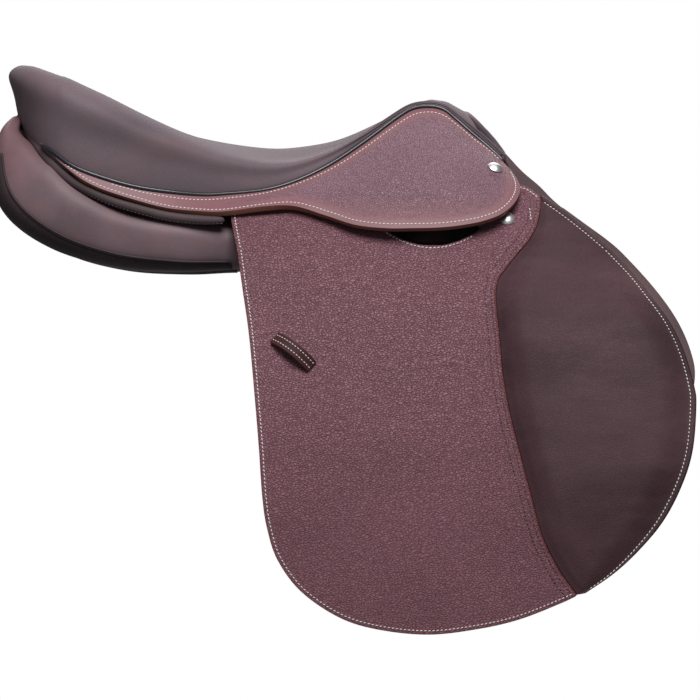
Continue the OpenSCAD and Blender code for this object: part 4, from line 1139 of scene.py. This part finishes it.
to_rim = distance_to([skirt_point(skirt_end * i / 600, v) for i in range(601) for v in (0, 1)])
for name, side in sides:
    skirt_mesh = grid_mesh(220, 36, lambda u, v: at(skirt_point(skirt_end * u, v), side))
    skirt = new_piece(name + "_skirt_leaf", skirt_mesh, [skirt_hide, skirt_edge],
                      Vector((0, side, 0.5)))
    # The plain mark flattens the grain near the rims. It also sets where the painted sheen of the middle
    # gives way to the darker margin colour along the edges and lower part.
    mark(skirt, "plain", lambda p: max(1 - ease((to_rim(Vector((p.x, p.y * side, p.z))) - 6) / 14),
                                       0.9 * ease((64 - p.z) / 30)))
    thin = skirt.vertex_groups.new(name="thick")
    for vertex in skirt.data.vertices:
        ends = min((vertex.co.x + 0.2) / 0.03, 1)
        thin.add([vertex.index], max(0.25, ends), "REPLACE")
    thicken(skirt, 0.005, 0.0012, rim=1)
    skirt.modifiers["Thickness"].vertex_group = "thick"
    bend_skirt(skirt)
    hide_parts(name + "_skirt_upper", name + "_skirt_lower")
    skirt_sew = bmesh.new()
    sew(skirt_sew, skirt_row(1, low_row_gap, side), 0.03, 0.965)
    sew(skirt_sew, skirt_row(0, high_row_gap, side), 0.117, 0.955)
    skirt_stitches = finish_stitches(name + "_skirt_stitches", skirt_sew, thread)
    bend_skirt(skirt_stitches)

# Nails: domed brass heads with a silver plate, one through each skirt, one through each flap.
# Stamped, polished, and driven into the tree.
silver = new_finish("Silver plate", {"Base Color": (0.78, 0.77, 0.75, 1), "Metallic": 1, "Roughness": 0.42})
for name, side in sides:
    finish_node(name + "_nails", silver, 0.5)

# Studio: a pale floor well below the saddle, soft light from above and the front, white behind.
# The floor glows a little for camera rays only, so it shows pale and keeps the saddle's shadow.
floor_mesh = bmesh.new()
bmesh.ops.create_circle(floor_mesh, cap_ends=True, segments=96, radius=2.4)
floor_data = bpy.data.meshes.new("floor")
floor_mesh.to_mesh(floor_data)
floor_mesh.free()
floor = bpy.data.objects.new("floor", floor_data)
floor.location = (0.05, 0, -0.62)
bpy.context.scene.collection.objects.link(floor)
floor_paint = new_finish("Pale floor", {"Base Color": (0.8, 0.8, 0.8, 1), "Roughness": 0.9})
floor_tree = floor_paint.node_tree
floor_shade = shader_node(floor_tree, "BsdfDiffuse", {"Color": (0.2, 0.2, 0.2, 1)})
floor_path = shader_node(floor_tree, "LightPath", {})
floor_glow = shader_node(floor_tree, "Emission", {"Strength": 0.35})
floor_sum = shader_node(floor_tree, "AddShader", {})
floor_pick = shader_node(floor_tree, "MixShader", {})
wire(floor_tree, [
    (floor_tree.nodes["Principled BSDF"], 0, floor_sum, 0),
    (floor_glow, 0, floor_sum, 1),
    (floor_path, "Is Camera Ray", floor_pick, 0),
    (floor_shade, 0, floor_pick, 1),
    (floor_sum, 0, floor_pick, 2),
    (floor_pick, 0, floor_tree.nodes["Material Output"], "Surface")])
floor_data.materials.append(floor_paint)
world = bpy.data.worlds.new("Studio")
bpy.context.scene.world = world
world.use_nodes = True
world_tree = world.node_tree
world_back = world_tree.nodes["Background"]
world_back.inputs["Color"].default_value = (1, 1, 1, 1)
world_path = shader_node(world_tree, "LightPath", {})
world_level = shader_node(world_tree, "MapRange", {"To Min": 0.14, "To Max": 1.0})
wire(world_tree, [
    (world_path, "Is Camera Ray", world_level, "Value"),
    (world_level, "Result", world_back, "Strength")])


def soft_lamp(name, place, target, size, power):
    light = bpy.data.lights.new(name, "AREA")
    light.size = size
    light.energy = power
    lamp = bpy.data.objects.new(name, light)
    lamp.location = place
    lamp.rotation_euler = (Vector(target) - Vector(place)).to_track_quat("-Z", "Y").to_euler()
    bpy.context.scene.collection.objects.link(lamp)


soft_lamp("Top light", (0.15, -2.0, 2.3), (0.05, 0, 0), 1.5, 116)
soft_lamp("Far light", (0.1, 2.0, 2.0), (0.05, 0, 0), 2.2, 40)

# Camera: square to the off side at the height of the saddle's middle, four metres away.
# Its long lens keeps near and far pieces at almost one scale.
camera_data = bpy.data.cameras.new("Camera")
camera_data.lens = 232.4
camera_data.sensor_width = 36
camera = bpy.data.objects.new("Camera", camera_data)
camera.location = (0.0575, -4.0, -0.0726)
camera.rotation_euler = (math.pi / 2, 0, 0)
bpy.context.scene.collection.objects.link(camera)
bpy.context.scene.camera = camera
bpy.context.scene.view_settings.view_transform = "Standard"
